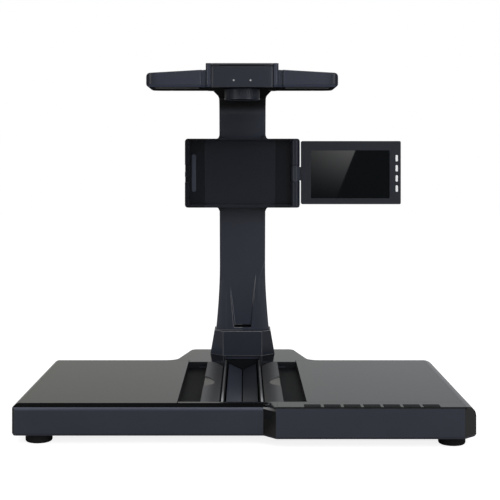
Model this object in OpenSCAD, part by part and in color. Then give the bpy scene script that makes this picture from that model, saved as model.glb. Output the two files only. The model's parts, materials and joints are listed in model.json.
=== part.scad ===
// Overhead document scanner: a flat base with two page boards and a spine trough, a rear column with a
// control box and a swing-out display, and a lamp head with the camera above the pages.
// +Z is up and +Y away from the user. The origin is on the table below the middle of the overall box.

/* [Base housing] */
// Overall width of the base
base_w = 568; // [558:1:592]
// Overall depth, control strip to back of the hump
base_d = 438; // [433:1:453]
// Height of the housing without its feet
base_h = 38.5; // [35:0.5:42]
// Depth of the deck, left front face to rear
deck_d = 318; // [314:1:322]
// Column axis, offset from the middle of the base
column_x = -2; // [-8:1:8]
// Wall of the base housing
wall = 2.5; // [2:0.1:3]
// Thickness of the deck plate below the boards
deck_t = 3; // [2:0.1:3.5]
// Thickness of the bottom cover
bottom_t = 2.5; // [2:0.1:3.5]
// Radius of the upright corners
corner_r = 6; // [3:0.5:9]
// Stand-out of the control strip in front
step_d = 18; // [14:1:22]
// Start of the step, from the column axis
step_x = 26; // [20:1:30]
// Width of the step's slanted face
step_run = 15; // [10:1:18]
// Slant across the right front corner
corner_cut = 17; // [12:1:20]
// Width of the soft right shoulder
shoulder_w = 15; // [12:1:18]
// Drop of the soft right shoulder
shoulder_drop = 14; // [8:0.5:15]
// Width of the left edge's round
edge_w = 8; // [4:0.5:10]
// Drop of the left edge's round
edge_drop = 7.5; // [4:0.5:9]
// Front slope, from deck edge to bevel, in depth
slope_d = 6; // [5:0.2:8]
// Front slope, in height
slope_h = 3.5; // [2.5:0.1:4.5]
// Bevel below the slope, in depth
bevel_d = 2.8; // [1.5:0.1:3.5]
// Bevel below the slope, in height
bevel_h = 5; // [2.5:0.1:6]
// Width of the lip in front of the control strip
lip_w = 0.8; // [0.6:0.1:1.5]
// Drop of that lip below the strip's top
lip_drop = 1.2; // [0.5:0.1:2]

/* [Rear hump] */
// Half width of the hump at the deck
hump_front = 99; // [95:1:108]
// Half width of the hump at its back
hump_back = 79; // [76:1:88]
// Radius of the flare between deck and hump
hump_flare = 20; // [12:1:26]
// Radius of the hump's back corners
hump_r = 10; // [6:1:14]

/* [Page boards] */
// Thickness of the boards and the control strip
board_t = 3; // [2.5:0.1:3.5]
// Rim behind the boards
rear_rim = 3; // [2:0.5:5]
// Gap round the boards and the strip
seam = 0.15; // [0.1:0.05:0.3]

/* [Slide recesses] */
// Front of recesses and trough, from the left front face
recess_y = 16; // [14:0.5:18]
// Length of the recesses
recess_len = 287.5; // [280:0.5:292]
// Outer edge of a recess, from the column axis
recess_x = 80; // [78:0.5:84]
// Thickness of a slide bed
bed_t = 2; // [1.5:0.1:2.5]

/* [Spine slides] */
// Outer edge of a slide, from the column axis
slide_out = 51.5; // [49:0.5:53]
// Inner edge of a slide, from the column axis
slide_in = 29; // [28:0.25:30]
// Height of a slide
slide_h = 9; // [8.5:0.1:10]
// Drop of the slide's curve at its inner edge
slide_drop = 6.5; // [5:0.1:7]
// Width of the slide's curve
slide_curve = 20; // [16:0.5:21]
// Wall of a slide
slide_wall = 2.2; // [1.8:0.1:2.6]
// Running gap under and behind a slide
slide_gap = 0.3; // [0.2:0.05:0.5]
// Outward travel of a slide
slide_travel = 24; // [20:0.5:25.5]
// Chord of the finger scoop
scoop_len = 72; // [60:1:80]
// Width of the finger scoop
scoop_w = 14; // [10:0.5:16]
// Depth of the finger scoop
scoop_h = 2.4; // [2.2:0.1:2.8]
// Middle of the finger scoop, from the left front face
scoop_y = 153.6; // [140:0.2:165]
// Width of the guide tab at each end of a slide
tab_w = 8; // [6:0.5:10]
// Thickness of a guide tab
tab_t = 2.5; // [2:0.1:3]
// Length of a guide tab
tab_l = 1.8; // [1.2:0.1:2]

/* [Spine trough] */
// Outer face of the trough rim, from the column axis
rim_out = 26.6; // [26:0.1:27.5]
// Inner face of the trough rim, from the column axis
rim_in = 22.7; // [22:0.1:23.5]
// Drop of the rim below the deck
rim_drop = 7; // [6:0.25:8]
// Trough floor above the bottom cover
well_lift = 3; // [2:0.5:5]
// Thickness of the trough floor
well_t = 2.5; // [2:0.1:3]
// Drop of the V plates at their outer edge
vee_out_drop = 12; // [11:0.5:13]
// Drop of the V plates at the groove
vee_in_drop = 21; // [18:0.5:23]
// Half width of the groove between the V plates
groove = 0.8; // [0.5:0.1:1.2]
// Gap between a V plate and the rim
vee_gap = 2; // [1:0.1:2.5]
// Thickness of a V plate
vee_t = 2; // [1.5:0.1:2.5]

/* [Front keys] */
// Number of front keys
key_n = 7; // [7:1:7]
// Middle of the first key, from the column axis
key_x = 85.7; // [82:0.1:90]
// Spacing of the keys
key_pitch = 24.1; // [22.5:0.1:25]
// Width of a key
key_w = 19.8; // [18:0.1:21]
// Depth of a key
key_d = 14.6; // [13:0.1:15]
// Front of the keys, from the front face of the strip
key_y = 3; // [2.5:0.1:4.5]
// Stand-out of a key above the strip
key_proud = 0.3; // [0.2:0.1:0.6]
// Travel of a key
key_travel = 1.2; // [0.8:0.1:1.5]
// Gap round a key
key_gap = 0.3; // [0.2:0.05:0.4]
// Flange that keeps a key in its opening
key_flange = 1; // [0.8:0.1:1.2]
// Back of the control strip, behind the left front face
strip_back = 14.4; // [13:0.1:15]
// Height between deck plate and key board
key_room = 5; // [4.5:0.1:6]
// Thickness of a circuit board
pcb_t = 1.6; // [1.2:0.1:2]
// Key board past the outer key's middle
key_board_end = 20; // [18:0.5:22]
// Thickness of a key's flange
flange_t = 1.5; // [1:0.1:2]
// Diameter of a key's plunger
plunger_dia = 3; // [2:0.1:4]
// Gap between a pressed key and its switch
plunger_gap = 0.1; // [0.1:0.05:0.2]
// Diameter of a key's switch
switch_dia = 6; // [5:0.1:7]
// Height of a key's switch
switch_h = 1; // [0.6:0.1:1.3]

/* [Feet and base fasteners] */
// Height of a foot
foot_h = 11.5; // [8:0.5:16]
// Diameter of a foot
foot_dia = 33.3; // [28:0.1:36]
// Rounding of a foot's lower edge
foot_round = 3; // [1:0.5:4]
// Left feet, from the left edge of the base
foot_left = 30; // [24:0.5:36]
// Right feet, from the right edge of the base
foot_right = 28; // [24:0.5:36]
// Front left foot, from the left front face
foot_y_left = 24; // [20:0.5:36]
// Front right foot, from the front of the control strip
foot_y_right = 28.5; // [26:0.5:40]
// Rear feet, from the rear edge of the deck
foot_y_rear = 27; // [22:0.5:40]
// Hump feet, from the column axis
foot_hump_x = 56; // [50:0.5:60]
// Hump feet, from the back of the hump
foot_hump_y = 26; // [22:0.5:30]
// Diameter of a base screw
screw_dia = 3; // [2.5:0.1:4]
// Diameter of a base screw's head
screw_head = 5.6; // [5:0.1:7]
// Height of a base screw's head
screw_head_h = 1.6; // [1.2:0.1:2]
// Length of a base screw
screw_len = 12; // [8:0.5:14]
// Diameter of a screw boss
boss_dia = 8; // [7:0.1:10]
// Clearance round a screw's shank
screw_fit = 0.05; // [0.02:0.01:0.1]
// Base screws, from the side and rear edges
screw_side = 14; // [12:0.5:18]
// Front side screws, from the left front face
screw_side_front = 60; // [50:1:75]
// Rear side screws, from the rear edge of the deck
screw_side_rear = 70; // [60:1:85]
// Middle screws, from the side edges
screw_mid = 120; // [112:1:126]
// Front middle screws, from the left front face
screw_mid_front = 34; // [30:1:40]

/* [Base inside] */
// Gap between the trough and the ballast plate
ballast_gap = 30; // [24:1:34]
// Width of the ballast plate
ballast_w = 150; // [120:1:170]
// Depth of the ballast plate
ballast_d = 200; // [160:1:220]
// Thickness of the ballast plate
ballast_t = 3; // [2:0.1:4]
// Width of the main board
main_w = 34; // [33:0.5:36]
// Depth of the main board
main_d = 62; // [50:0.5:64]
// Middle of the main board, left of the column axis
main_x = 58; // [56:0.5:59]
// Main board above the bottom cover
main_lift = 6; // [4:0.5:9]
// Main board's posts, from the board's edges
main_post_in = 4; // [4:0.5:6]
// Width of the main chip
chip_w = 16; // [12:0.5:20]
// Thickness of the main chip
chip_t = 2; // [1.2:0.1:3]
// Main chip, from the main board's front edge
chip_in = 12; // [8:0.5:16]
// Outer ribs below the trough, from its ends
rib_in = 30; // [24:1:40]
// Width of a USB socket
usb_w = 13; // [12:0.1:14]
// Height of a USB socket
usb_h = 7; // [6:0.1:8]
// Depth of a USB socket
usb_d = 16; // [14:0.1:18]
// Spacing of the USB sockets
usb_pitch = 18; // [16:0.5:19]
// Wall of a USB socket's shell
usb_wall = 0.6; // [0.4:0.1:0.8]
// Power jack, right of the column axis
jack_x = 58; // [50:0.5:62]
// Power jack above the bottom cover
jack_z = 12; // [10:0.5:16]
// Outer diameter of the power jack
jack_dia = 11; // [10:0.1:12]
// Bore of the power jack
jack_bore = 5.5; // [5.5:0.1:6.5]
// Length of the power jack
jack_len = 14; // [12:0.5:18]
// Centre pin of the power jack
jack_pin = 2.1; // [1.9:0.1:2.5]

/* [Column] */
// Gap between column and back of the hump
column_back = 9; // [4:0.5:10]
// Depth of the column
column_d = 40; // [36:0.5:44]
// Width of the column at its top
column_w = 71.5; // [66:0.5:76]
// Width of the column above its flared foot
waist_w = 70; // [67:0.5:71]
// Width of the column at its foot
column_foot_w = 91; // [84:0.5:93]
// Height of the flare's top
flare_z = 188; // [175:1:200]
// Bend of the flare
flare_bend = 1.75; // [1.4:0.05:2]
// Creases beside the foot, from the column axis
crease_x = 24.7; // [23:0.1:27]
// Turn-back of the facets beside the creases
crease_back = 5.5; // [3:0.5:6]
// Height of the creases' upper ends
crease_z = 165; // [150:1:172]
// Height where the facets fade out
crease_top = 196; // [184:1:205]
// Wall of the column's shells
column_wall = 2.5; // [2:0.1:3]
// Radius of the fillet below the arm
neck_r = 25; // [18:0.5:30]
// Height of the head's underside
head_z = 444; // [430:1:460]

/* [Collar] */
// Width of the collar at its foot
collar_w = 99.5; // [96:0.5:103]
// Width of the collar at its top
collar_top_w = 86.5; // [85:0.5:90]
// Height of the collar
collar_h = 37.5; // [34:0.1:42]
// Stand-out of the collar in front of the column
collar_front = 13; // [10:0.5:15]
// Slant of the collar's upright corners
collar_cut = 20; // [16:0.5:22]
// Wall of the collar
collar_wall = 3; // [2:0.1:4]

/* [Column recess] */
// Half width of the recess at its foot
dip_foot = 11; // [9:0.5:12.5]
// Half width of the recess at its top
dip_top = 20.6; // [17:0.2:22]
// Height of the recess above the collar
dip_h = 85.5; // [60:0.5:90]
// Depth of the recess at its foot
dip_depth = 4; // [2:0.1:4]
// Slant of the recess's side walls
dip_slant = 3; // [1:0.2:4]
// Half width of the slot below the recess
slot_half = 13; // [11:0.5:14]
// Height of the slot
slot_h = 4; // [3:0.1:5]

/* [Mast] */
// Width of the steel mast
mast_w = 36; // [32:0.5:40]
// Depth of the steel mast
mast_d = 20; // [18:0.5:22]
// Wall of the steel mast
mast_wall = 2; // [1.5:0.1:2.5]
// Gap round the mast
mast_gap = 0.5; // [0.3:0.1:1]
// Room beside the mast inside the collar
collar_room = 4; // [3:0.5:6]
// Width of the mast's foot plate
plate_w = 64; // [60:0.5:66]
// Depth of the mast's foot plate
plate_d = 44; // [42:0.5:46]
// Thickness of the mast's foot plate
plate_t = 4; // [3:0.1:5]
// Mast bolts, from the foot plate's edges
bolt_in = 7; // [6.5:0.5:9]
// Diameter of a mast bolt
bolt_dia = 5; // [4:0.1:6]
// Diameter of a mast bolt's head
bolt_head = 9; // [8:0.1:10]
// Height of a mast bolt's head
bolt_head_h = 3.5; // [3:0.1:5]
// Diameter of the wiring loom
loom_dia = 7; // [5:0.1:9]
// Width of the head bracket
bracket_w = 30; // [24:0.5:32]
// Thickness of the head bracket
bracket_t = 2; // [1.5:0.1:3]

/* [Control box] */
// Left side of the box, from the column axis
box_left = 87; // [86:0.5:90]
// Right side of the box, from the column axis
box_right = 87; // [86:0.5:88]
// Height of the box's underside
box_z = 277.7; // [265:0.1:290]
// Height of the box
box_h = 104.4; // [103.4:0.2:112]
// Stand-out of the box in front of the column
box_d = 37; // [34:0.5:42]
// Radius of the box's corners
box_r = 4.6; // [3:0.1:6]
// Radius of the fillets between box and column
box_fillet = 5; // [3:0.5:7]
// Wall of the box
box_wall = 2.5; // [2:0.1:3]
// Depth of the front cover's sides
cover_d = 18; // [17.5:0.1:20]
// Depth of the tray
tray_d = 15; // [14.5:0.1:15.5]
// Clearance of the folded display in the tray
tray_gap = 1.5; // [1:0.1:1.8]
// Thickness of the tray's raised panel
raised_t = 1; // [0.5:0.1:1.2]
// Left edge of the raised panel, from the column axis
raised_left = 57.4; // [50:0.1:62]
// Right edge of the raised panel, from the column axis
raised_right = 49.7; // [45:0.1:60]
// Left edge of the rest pad, from the tray's left wall
pad_in = 3.5; // [2.5:0.1:5]
// Width of the rest pad
pad_w = 6.6; // [4:0.1:7]
// Height of the rest pad
pad_h = 57.4; // [45:0.1:62]
// Thickness of the rest pad
pad_t = 0.6; // [0.4:0.1:0.8]
// Lower catch notch, above the box's underside
notch_lift = 38.4; // [36:0.1:44]
// Height of the lower catch notch
notch_low_h = 8.2; // [6:0.1:10]
// Height of the catch between the notches
catch_h = 7.5; // [5:0.1:9]
// Height of the upper catch notch
notch_up_h = 10.7; // [8:0.1:12]
// Depth of the catch notches
notch_d = 8; // [6:0.5:10]
// Catch, behind the box's front
catch_back = 1; // [0.4:0.1:3]

/* [Display hinge] */
// Hinge axis, from the column axis
hinge_x = 80; // [79.5:0.1:80.5]
// Diameter of the hinge barrels
barrel_dia = 13; // [12.4:0.1:13]
// Diameter of the hinge pin
pin_dia = 4; // [3:0.1:5]
// Running gap round the hinge pin and the tilt shaft
hinge_fit = 0.05; // [0.03:0.01:0.1]
// Knuckle, above the box's underside
knuckle_lift = 40; // [38:0.5:42]
// Length of the knuckle
knuckle_h = 22.7; // [20:0.1:24]
// Gap above and below the knuckle
knuckle_gap = 0.4; // [0.2:0.05:0.6]
// Gap between the pin's end and the box
pin_end = 3; // [2:0.5:5]
// Diameter of the tilt shaft
shaft_dia = 5; // [4:0.1:6]
// Length of the tilt shaft inside the display
shaft_in = 9; // [7:0.5:10]

/* [Display] */
// Left edge of the display, from the column axis
display_x = 88.8; // [88.5:0.1:89.4]
// Width of the display
display_w = 150.6; // [147:0.2:151]
// Height of the display
display_h = 95.5; // [92:0.5:96]
// Thickness of the display
display_t = 13; // [12.6:0.1:13.4]
// Display, above the box's underside
display_lift = 5.3; // [5:0.1:5.8]
// Radius of the display's corners
display_r = 2; // [1:0.1:4]
// Thickness of the bezel's sides
bezel_d = 6; // [5.5:0.1:7]
// Wall of the display's covers
display_wall = 1.8; // [1.4:0.1:2.2]
// Left edge of the screen, from the display's left edge
screen_x = 14.8; // [13:0.1:16]
// Lower edge of the screen, from the display's lower edge
screen_z = 8.6; // [7:0.1:11]
// Width of the screen
screen_w = 118.9; // [114:0.1:120]
// Height of the screen
screen_h = 72.7; // [68:0.1:75]
// Depth of the glass behind the bezel's face
glass_in = 0.6; // [0.4:0.1:0.8]
// Thickness of the glass
glass_t = 1; // [0.8:0.1:1.2]
// Thickness of the LCD panel
lcd_t = 2.4; // [2:0.1:3]
// Number of display keys
dkey_n = 4; // [4:1:4]
// Display keys, from the display's right edge
dkey_in = 6.2; // [5.5:0.1:7]
// Width of a display key
dkey_w = 3.5; // [3:0.1:4.6]
// Height of a display key
dkey_h = 9.8; // [7:0.1:10.4]
// Spacing of the display keys
dkey_pitch = 15.3; // [13:0.1:16]
// Lowest display key, from the display's lower edge
dkey_z = 23.6; // [22:0.1:25]
// How far a display key stands proud
dkey_proud = 0.5; // [0.3:0.1:0.6]
// Travel of a display key
dkey_travel = 0.5; // [0.3:0.1:0.6]
// Gap round a display key
dkey_gap = 0.2; // [0.15:0.05:0.3]
// Width of a display key's flange
dkey_flange = 0.8; // [0.5:0.1:1]
// Thickness of a display key's flange
dkey_flange_t = 0.7; // [0.5:0.1:0.9]
// Height of a display key's switch
dswitch_h = 0.6; // [0.4:0.1:0.8]
// Diameter of a display key's switch
dswitch_dia = 2.6; // [2:0.1:3.2]
// Display board, from the display's left edge
dboard_left = 14; // [12:0.5:16]
// Display board, from the display's other edges
dboard_in = 4; // [3:0.5:5]
// Display board's posts, from the display's edges
dpost_in = 18; // [16.5:0.5:24]
// Diameter of the display board's posts
dpost_dia = 4; // [3:0.1:5]
// LCD panel's posts, from the screen's edges
lcd_post_in = 8; // [4:0.5:12]

/* [Head] */
// Reach of the head in front of the column
head_reach = 275; // [260:1:290]
// Half width of the wings
wing_half = 126; // [118:0.1:130]
// Height of the wings at their roots
wing_root = 23; // [20:0.5:25]
// Height of the wings at their tips
wing_tip = 18.5; // [16:0.5:21]
// Depth of the wings
wing_d = 78; // [68:0.5:80]
// Radius of the wing tips, seen from the front
wing_r = 5.5; // [3:0.5:7]
// Radius of the wings' front corners
wing_front_r = 9; // [6:0.5:11]
// Width of the groove beside the centre block
groove_w = 5.4; // [4:0.1:6]
// Depth of that groove
groove_d = 5; // [3:0.1:6]
// Radius of the wings' corners at that groove
groove_r = 4; // [2:0.1:4]
// Radius of the wings' back corners
wing_back_r = 18; // [10:1:24]
// Half width of the centre block
block_half = 47.7; // [45:0.1:49]
// Height of the centre block
block_h = 31.4; // [29:0.1:34]
// Depth of the centre block
block_d = 84; // [80:0.5:90]
// Radius of the centre block's front corners
block_front_r = 4; // [3:0.1:5]
// Radius of the centre block's back corners
block_r = 8; // [5:0.5:10]
// Half width of the arm where it leaves the head
arm_half = 40; // [38:0.5:44]
// Length of the arm's taper behind the wings
arm_taper = 120; // [80:1:160]
// Height of the arm
arm_h = 23; // [20:0.5:26]
// Radius of the arm's back edge
arm_back_r = 18; // [10:1:19]
// Wall of the head's covers
head_wall = 2.2; // [1.8:0.1:2.6]
// Thickness of the head's lower cover
under_t = 3; // [2.6:0.1:3.4]
// Half width of the front panel
panel_half = 41; // [40:0.5:42.5]
// Thickness of the front panel
panel_t = 3; // [2:0.1:4]
// Width of the round at the front panel's edges
panel_edge_w = 6; // [3:0.1:8]
// Depth of the round at the front panel's edges
panel_edge_d = 2.4; // [1.5:0.1:2.6]
// Width of the slot in the front panel
panel_slot_w = 58; // [50:0.5:62]
// Height of the slot in the front panel
panel_slot_h = 2; // [1.5:0.1:2.5]
// Top margin of the front panel above its slot
panel_slot_top = 2.4; // [2:0.1:3]
// Diameter of an indicator
led_dia = 2.4; // [1.8:0.1:3]
// Indicators, above the head's underside
led_z = 9; // [7:0.5:12]
// Half spacing of the indicators
led_half = 11; // [8:0.5:14]
// Width of a lamp diffuser
lamp_w = 58; // [50:0.5:62]
// Depth of a lamp diffuser
lamp_d = 26; // [22:0.5:34]
// Lamp diffusers, from the head's front
lamp_front = 7; // [6.5:0.5:12]
// Middle of a lamp diffuser, from the column axis
lamp_x = 86; // [85:0.5:89]
// Thickness of a lamp diffuser
lamp_t = 1.5; // [1.2:0.1:2]
// Ledge that carries a lamp diffuser
lamp_ledge = 2; // [1:0.1:3]
// Wing screws, from the wing tips
head_screw_tip = 30; // [26:0.5:36]
// Inner screws, from the block's sides or the bracket
head_screw_block = 8; // [7:0.5:10]
// Wing and block screws, from the wings' back
head_screw_in = 5.5; // [5:0.1:7]
// Arm screws, in front of the column
head_screw_arm = 60; // [40:1:80]
// Diameter of a screw boss in the head
head_boss = 6; // [5:0.1:7]
// Length of a head screw
head_screw_len = 7; // [5:0.5:8]

/* [Camera] */
// Lens axis, behind the head's front
lens_back = 40; // [36:1:46]
// Outer diameter of the focus ring
ring_dia = 47.5; // [44:0.1:50]
// Height of the focus ring below the head
ring_h = 14.6; // [12:0.1:17]
// Wall of the focus ring
ring_wall = 3; // [2.6:0.1:3.4]
// Number of ribs on the focus ring
ring_ribs = 48; // [36:2:60]
// Depth of the ribs
rib_depth = 0.8; // [0.5:0.1:1]
// Height of the ring's plain lip
lip_h = 2; // [1.5:0.1:3]
// Running gap between ring and lens barrel
ring_fit = 0.1; // [0.05:0.01:0.1]
// Gap between the ring and the head
ring_gap = 0.4; // [0.2:0.05:0.6]
// Wall of the lens barrel
tube_wall = 3; // [2.4:0.1:3.4]
// Diameter of the aperture above the lens
aperture = 14; // [8:0.5:18]
// Thickness of the lens
lens_t = 4; // [3:0.1:5]
// Height of the lens barrel inside the head
barrel_in = 10; // [8:0.5:12]
// Width of the lens barrel's flange
barrel_flange = 2.5; // [1.5:0.1:4]
// Thickness of the lens barrel's top
barrel_top = 5; // [4:0.5:6]
// Gap between the camera board and the head bracket
bracket_gap = 4; // [2:0.5:8]
// Width and depth of the camera board
camera_w = 50; // [46:0.5:54]

/* [Hidden] */
$fn = 48;
arc_steps = 6;
tiny = 0.01;

shell_col = [0.17, 0.18, 0.21];
gloss_col = [0.28, 0.28, 0.30];
matte_col = [0.09, 0.09, 0.10];
steel_col = [0.55, 0.56, 0.58];
board_col = [0.10, 0.30, 0.16];

// Heights above the table
cover_z = foot_h + bottom_t;
deck_z = foot_h + base_h;
shelf_z = deck_z - board_t;
bed_z = deck_z - slide_h - slide_gap;
well_z = cover_z + well_lift;

// Depths, from the front of the control strip at -base_d / 2 to the back of the hump
strip_y = -base_d / 2;
front_y = strip_y + step_d;
rear_y = front_y + deck_d;
hump_y = base_d / 2;
column_rear_y = hump_y - column_back;
column_front_y = column_rear_y - column_d;
column_mid_y = (column_front_y + column_rear_y) / 2;
collar_y = column_front_y - collar_front;
box_y = column_front_y - box_d;
head_y = column_front_y - head_reach;
lens_y = head_y + lens_back;
lamp_y = head_y + lamp_front + lamp_d / 2;
crest_y = front_y + slope_d + bevel_d;
trough_y = front_y + recess_y;

// Widths, in the part's frame
left_x = -base_w / 2;
right_x = base_w / 2;
strip_x = column_x + step_x + step_run + 2;
board_right = right_x - shoulder_w;

// Point p turned by angle a about the origin
function turned(p, a) = [p[0] * cos(a) - p[1] * sin(a), p[0] * sin(a) + p[1] * cos(a)];
function unit(v) = v / norm(v);
// Arc that rounds corner p between a and b, no larger than its edges allow
function corner(p, a, b, r) =
  r <= 0 ? [p] :
  let (
    u = unit(a - p), v = unit(b - p),
    half = acos(u * v) / 2,
    fit = min(r, 0.49 * min(norm(a - p), norm(b - p)) * tan(half)),
    c = p + unit(u + v) * fit / sin(half),
    s = p + u * fit / tan(half) - c,
    e = p + v * fit / tan(half) - c,
    sweep = atan2(s[0] * e[1] - s[1] * e[0], s * e)
  )
  [for (k = [0 : arc_steps]) c + turned(s, sweep * k / arc_steps)];
// Outline with each corner rounded to its own radius
function rounded(pts, radii) =
  let (n = len(pts))
  [for (i = [0 : n - 1]) each corner(pts[i], pts[(i + n - 1) % n], pts[(i + 1) % n], radii[i])];
function box_pts(x0, y0, x1, y1) = [[x0, y0], [x1, y0], [x1, y1], [x0, y1]];
function even(r) = [r, r, r, r];

// Plan of the base, drawn in by i
function base_plan(i) =
  let (
    step_len = norm([step_run, step_d]),
    step_in = i * (step_len - step_run) / step_d,
    cut_in = i * (sqrt(2) - 1),
    side_len = norm([hump_front - hump_back, hump_y - rear_y]),
    side_in = i * (side_len - hump_front + hump_back) / (hump_y - rear_y),
    soft = max(corner_r - i, 0.5)
  )
  rounded([
    [left_x + i, front_y + i],
    [column_x + step_x + step_in, front_y + i],
    [column_x + step_x + step_run + step_in, strip_y + i],
    [right_x - corner_cut - cut_in, strip_y + i],
    [right_x - i, strip_y + corner_cut + cut_in],
    [right_x - i, rear_y - i],
    [column_x + hump_front - side_in, rear_y - i],
    [column_x + hump_back - side_in, hump_y - i],
    [column_x - hump_back + side_in, hump_y - i],
    [column_x - hump_front + side_in, rear_y - i],
    [left_x + i, rear_y - i]
  ], [
    soft, 0, 0, 0, 0, soft, hump_flare + i, max(hump_r - i, 0.5), max(hump_r - i, 0.5),
    hump_flare + i, soft
  ]);

module block(x0, y0, z0, x1, y1, z1) translate([x0, y0, z0]) cube([x1 - x0, y1 - y0, z1 - z0]);
module rod(dia, h) cylinder(d = dia, h = h);
// Solid of an outline drawn in X and Z, running along Y from y0 to y1
module along_y(y0, y1) translate([0, y1, 0]) rotate([90, 0, 0]) linear_extrude(y1 - y0) children();
// Solid of an outline drawn in Y and Z, running along X from x0 to x1
module along_x(x0, x1)
  translate([x0, 0, 0]) rotate([90, 0, 90]) linear_extrude(x1 - x0) children();
module at_column() translate([column_x, 0, 0]) children();
module both_sides() {
  children();
  mirror([1, 0, 0]) children();
}

// Places of the base's screws and feet, as [x, y]
screw_spots = [for (x = [-1, 1]) each [
  [x * (base_w / 2 - screw_side), front_y + screw_side_front],
  [x * (base_w / 2 - screw_side), rear_y - screw_side_rear],
  [x * (base_w / 2 - screw_mid), front_y + screw_mid_front],
  [x * (base_w / 2 - screw_mid), rear_y - screw_side]
]];
foot_spots = [
  [left_x + foot_left, front_y + foot_y_left],
  [right_x - foot_right, strip_y + foot_y_right],
  [left_x + foot_left, rear_y - foot_y_rear],
  [right_x - foot_right, rear_y - foot_y_rear],
  [column_x - foot_hump_x, hump_y - foot_hump_y],
  [column_x + foot_hump_x, hump_y - foot_hump_y]
];

// Quarter of an ellipse from [0, 0] to [w, -h], tangent to the deck
function ease(w, h) =
  [for (k = [0 : 8]) [w * sin(k * 90 / 8), -h * (1 - cos(k * 90 / 8))]];
// Front edge of the deck in Y and Z: bevel, slope, crest
function front_edge() = concat(
  [[front_y - 1, deck_z + 1], [front_y - 1, deck_z - slope_h - bevel_h]],
  [for (k = [0 : 8]) [
    front_y + bevel_d * (1 - cos(k * 90 / 8)),
    deck_z - slope_h - bevel_h + bevel_h * sin(k * 90 / 8)
  ]],
  [[crest_y, deck_z], [crest_y, deck_z + 1]]
);

// Material above the front slope, which fades out along the step
module front_edge_cut() {
  step_at = column_x + step_x;
  intersection() {
    along_x(left_x - 1, step_at + step_run) polygon(front_edge());
    translate([0, 0, shelf_z - base_h]) linear_extrude(base_h * 2)
      polygon([
        [left_x - 1, front_y - 1], [step_at, front_y - 1], [step_at, front_y],
        [step_at + slope_d + bevel_d, crest_y], [left_x - 1, crest_y]
      ]);
  }
  low = deck_z - slope_h;
  top = deck_z + 1;
  polyhedron(
    points = [
      [step_at - 1, front_y - 1.2, low - 0.4], [step_at + step_run, strip_y - 0.4, deck_z],
      [step_at + slope_d + bevel_d, crest_y, deck_z],
      [step_at - 1, front_y - 1.2, top], [step_at + step_run, strip_y - 0.4, top],
      [step_at + slope_d + bevel_d, crest_y, top]
    ],
    faces = [[0, 1, 2], [3, 5, 4], [0, 3, 4, 1], [1, 4, 5, 2], [2, 5, 3, 0]]
  );
}

module key_openings(gap, z0, z1) for (k = [0 : key_n - 1]) {
  x = column_x + key_x + k * key_pitch;
  block(
    x - key_w / 2 - gap, strip_y + key_y - gap, z0, x + key_w / 2 + gap,
    strip_y + key_y + key_d + gap, z1
  );
}

// What the soft right shoulder takes off the deck
module shoulder_cut() along_y(strip_y - 1, rear_y + 1) polygon(concat(
  [[board_right, deck_z + 1]],
  [for (p = ease(shoulder_w, shoulder_drop)) [board_right + p[0], deck_z + p[1]]],
  [[right_x + 1, deck_z - shoulder_drop], [right_x + 1, deck_z + 1]]
));
// What the round of the left edge takes off the deck
module left_edge_cut() along_y(front_y - 1, rear_y + 1) polygon(concat(
  [[left_x + edge_w, deck_z + 1]],
  [for (p = ease(edge_w, edge_drop)) [left_x + edge_w - p[0], deck_z + p[1]]],
  [[left_x - 1, deck_z - edge_drop], [left_x - 1, deck_z + 1]]
));

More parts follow.
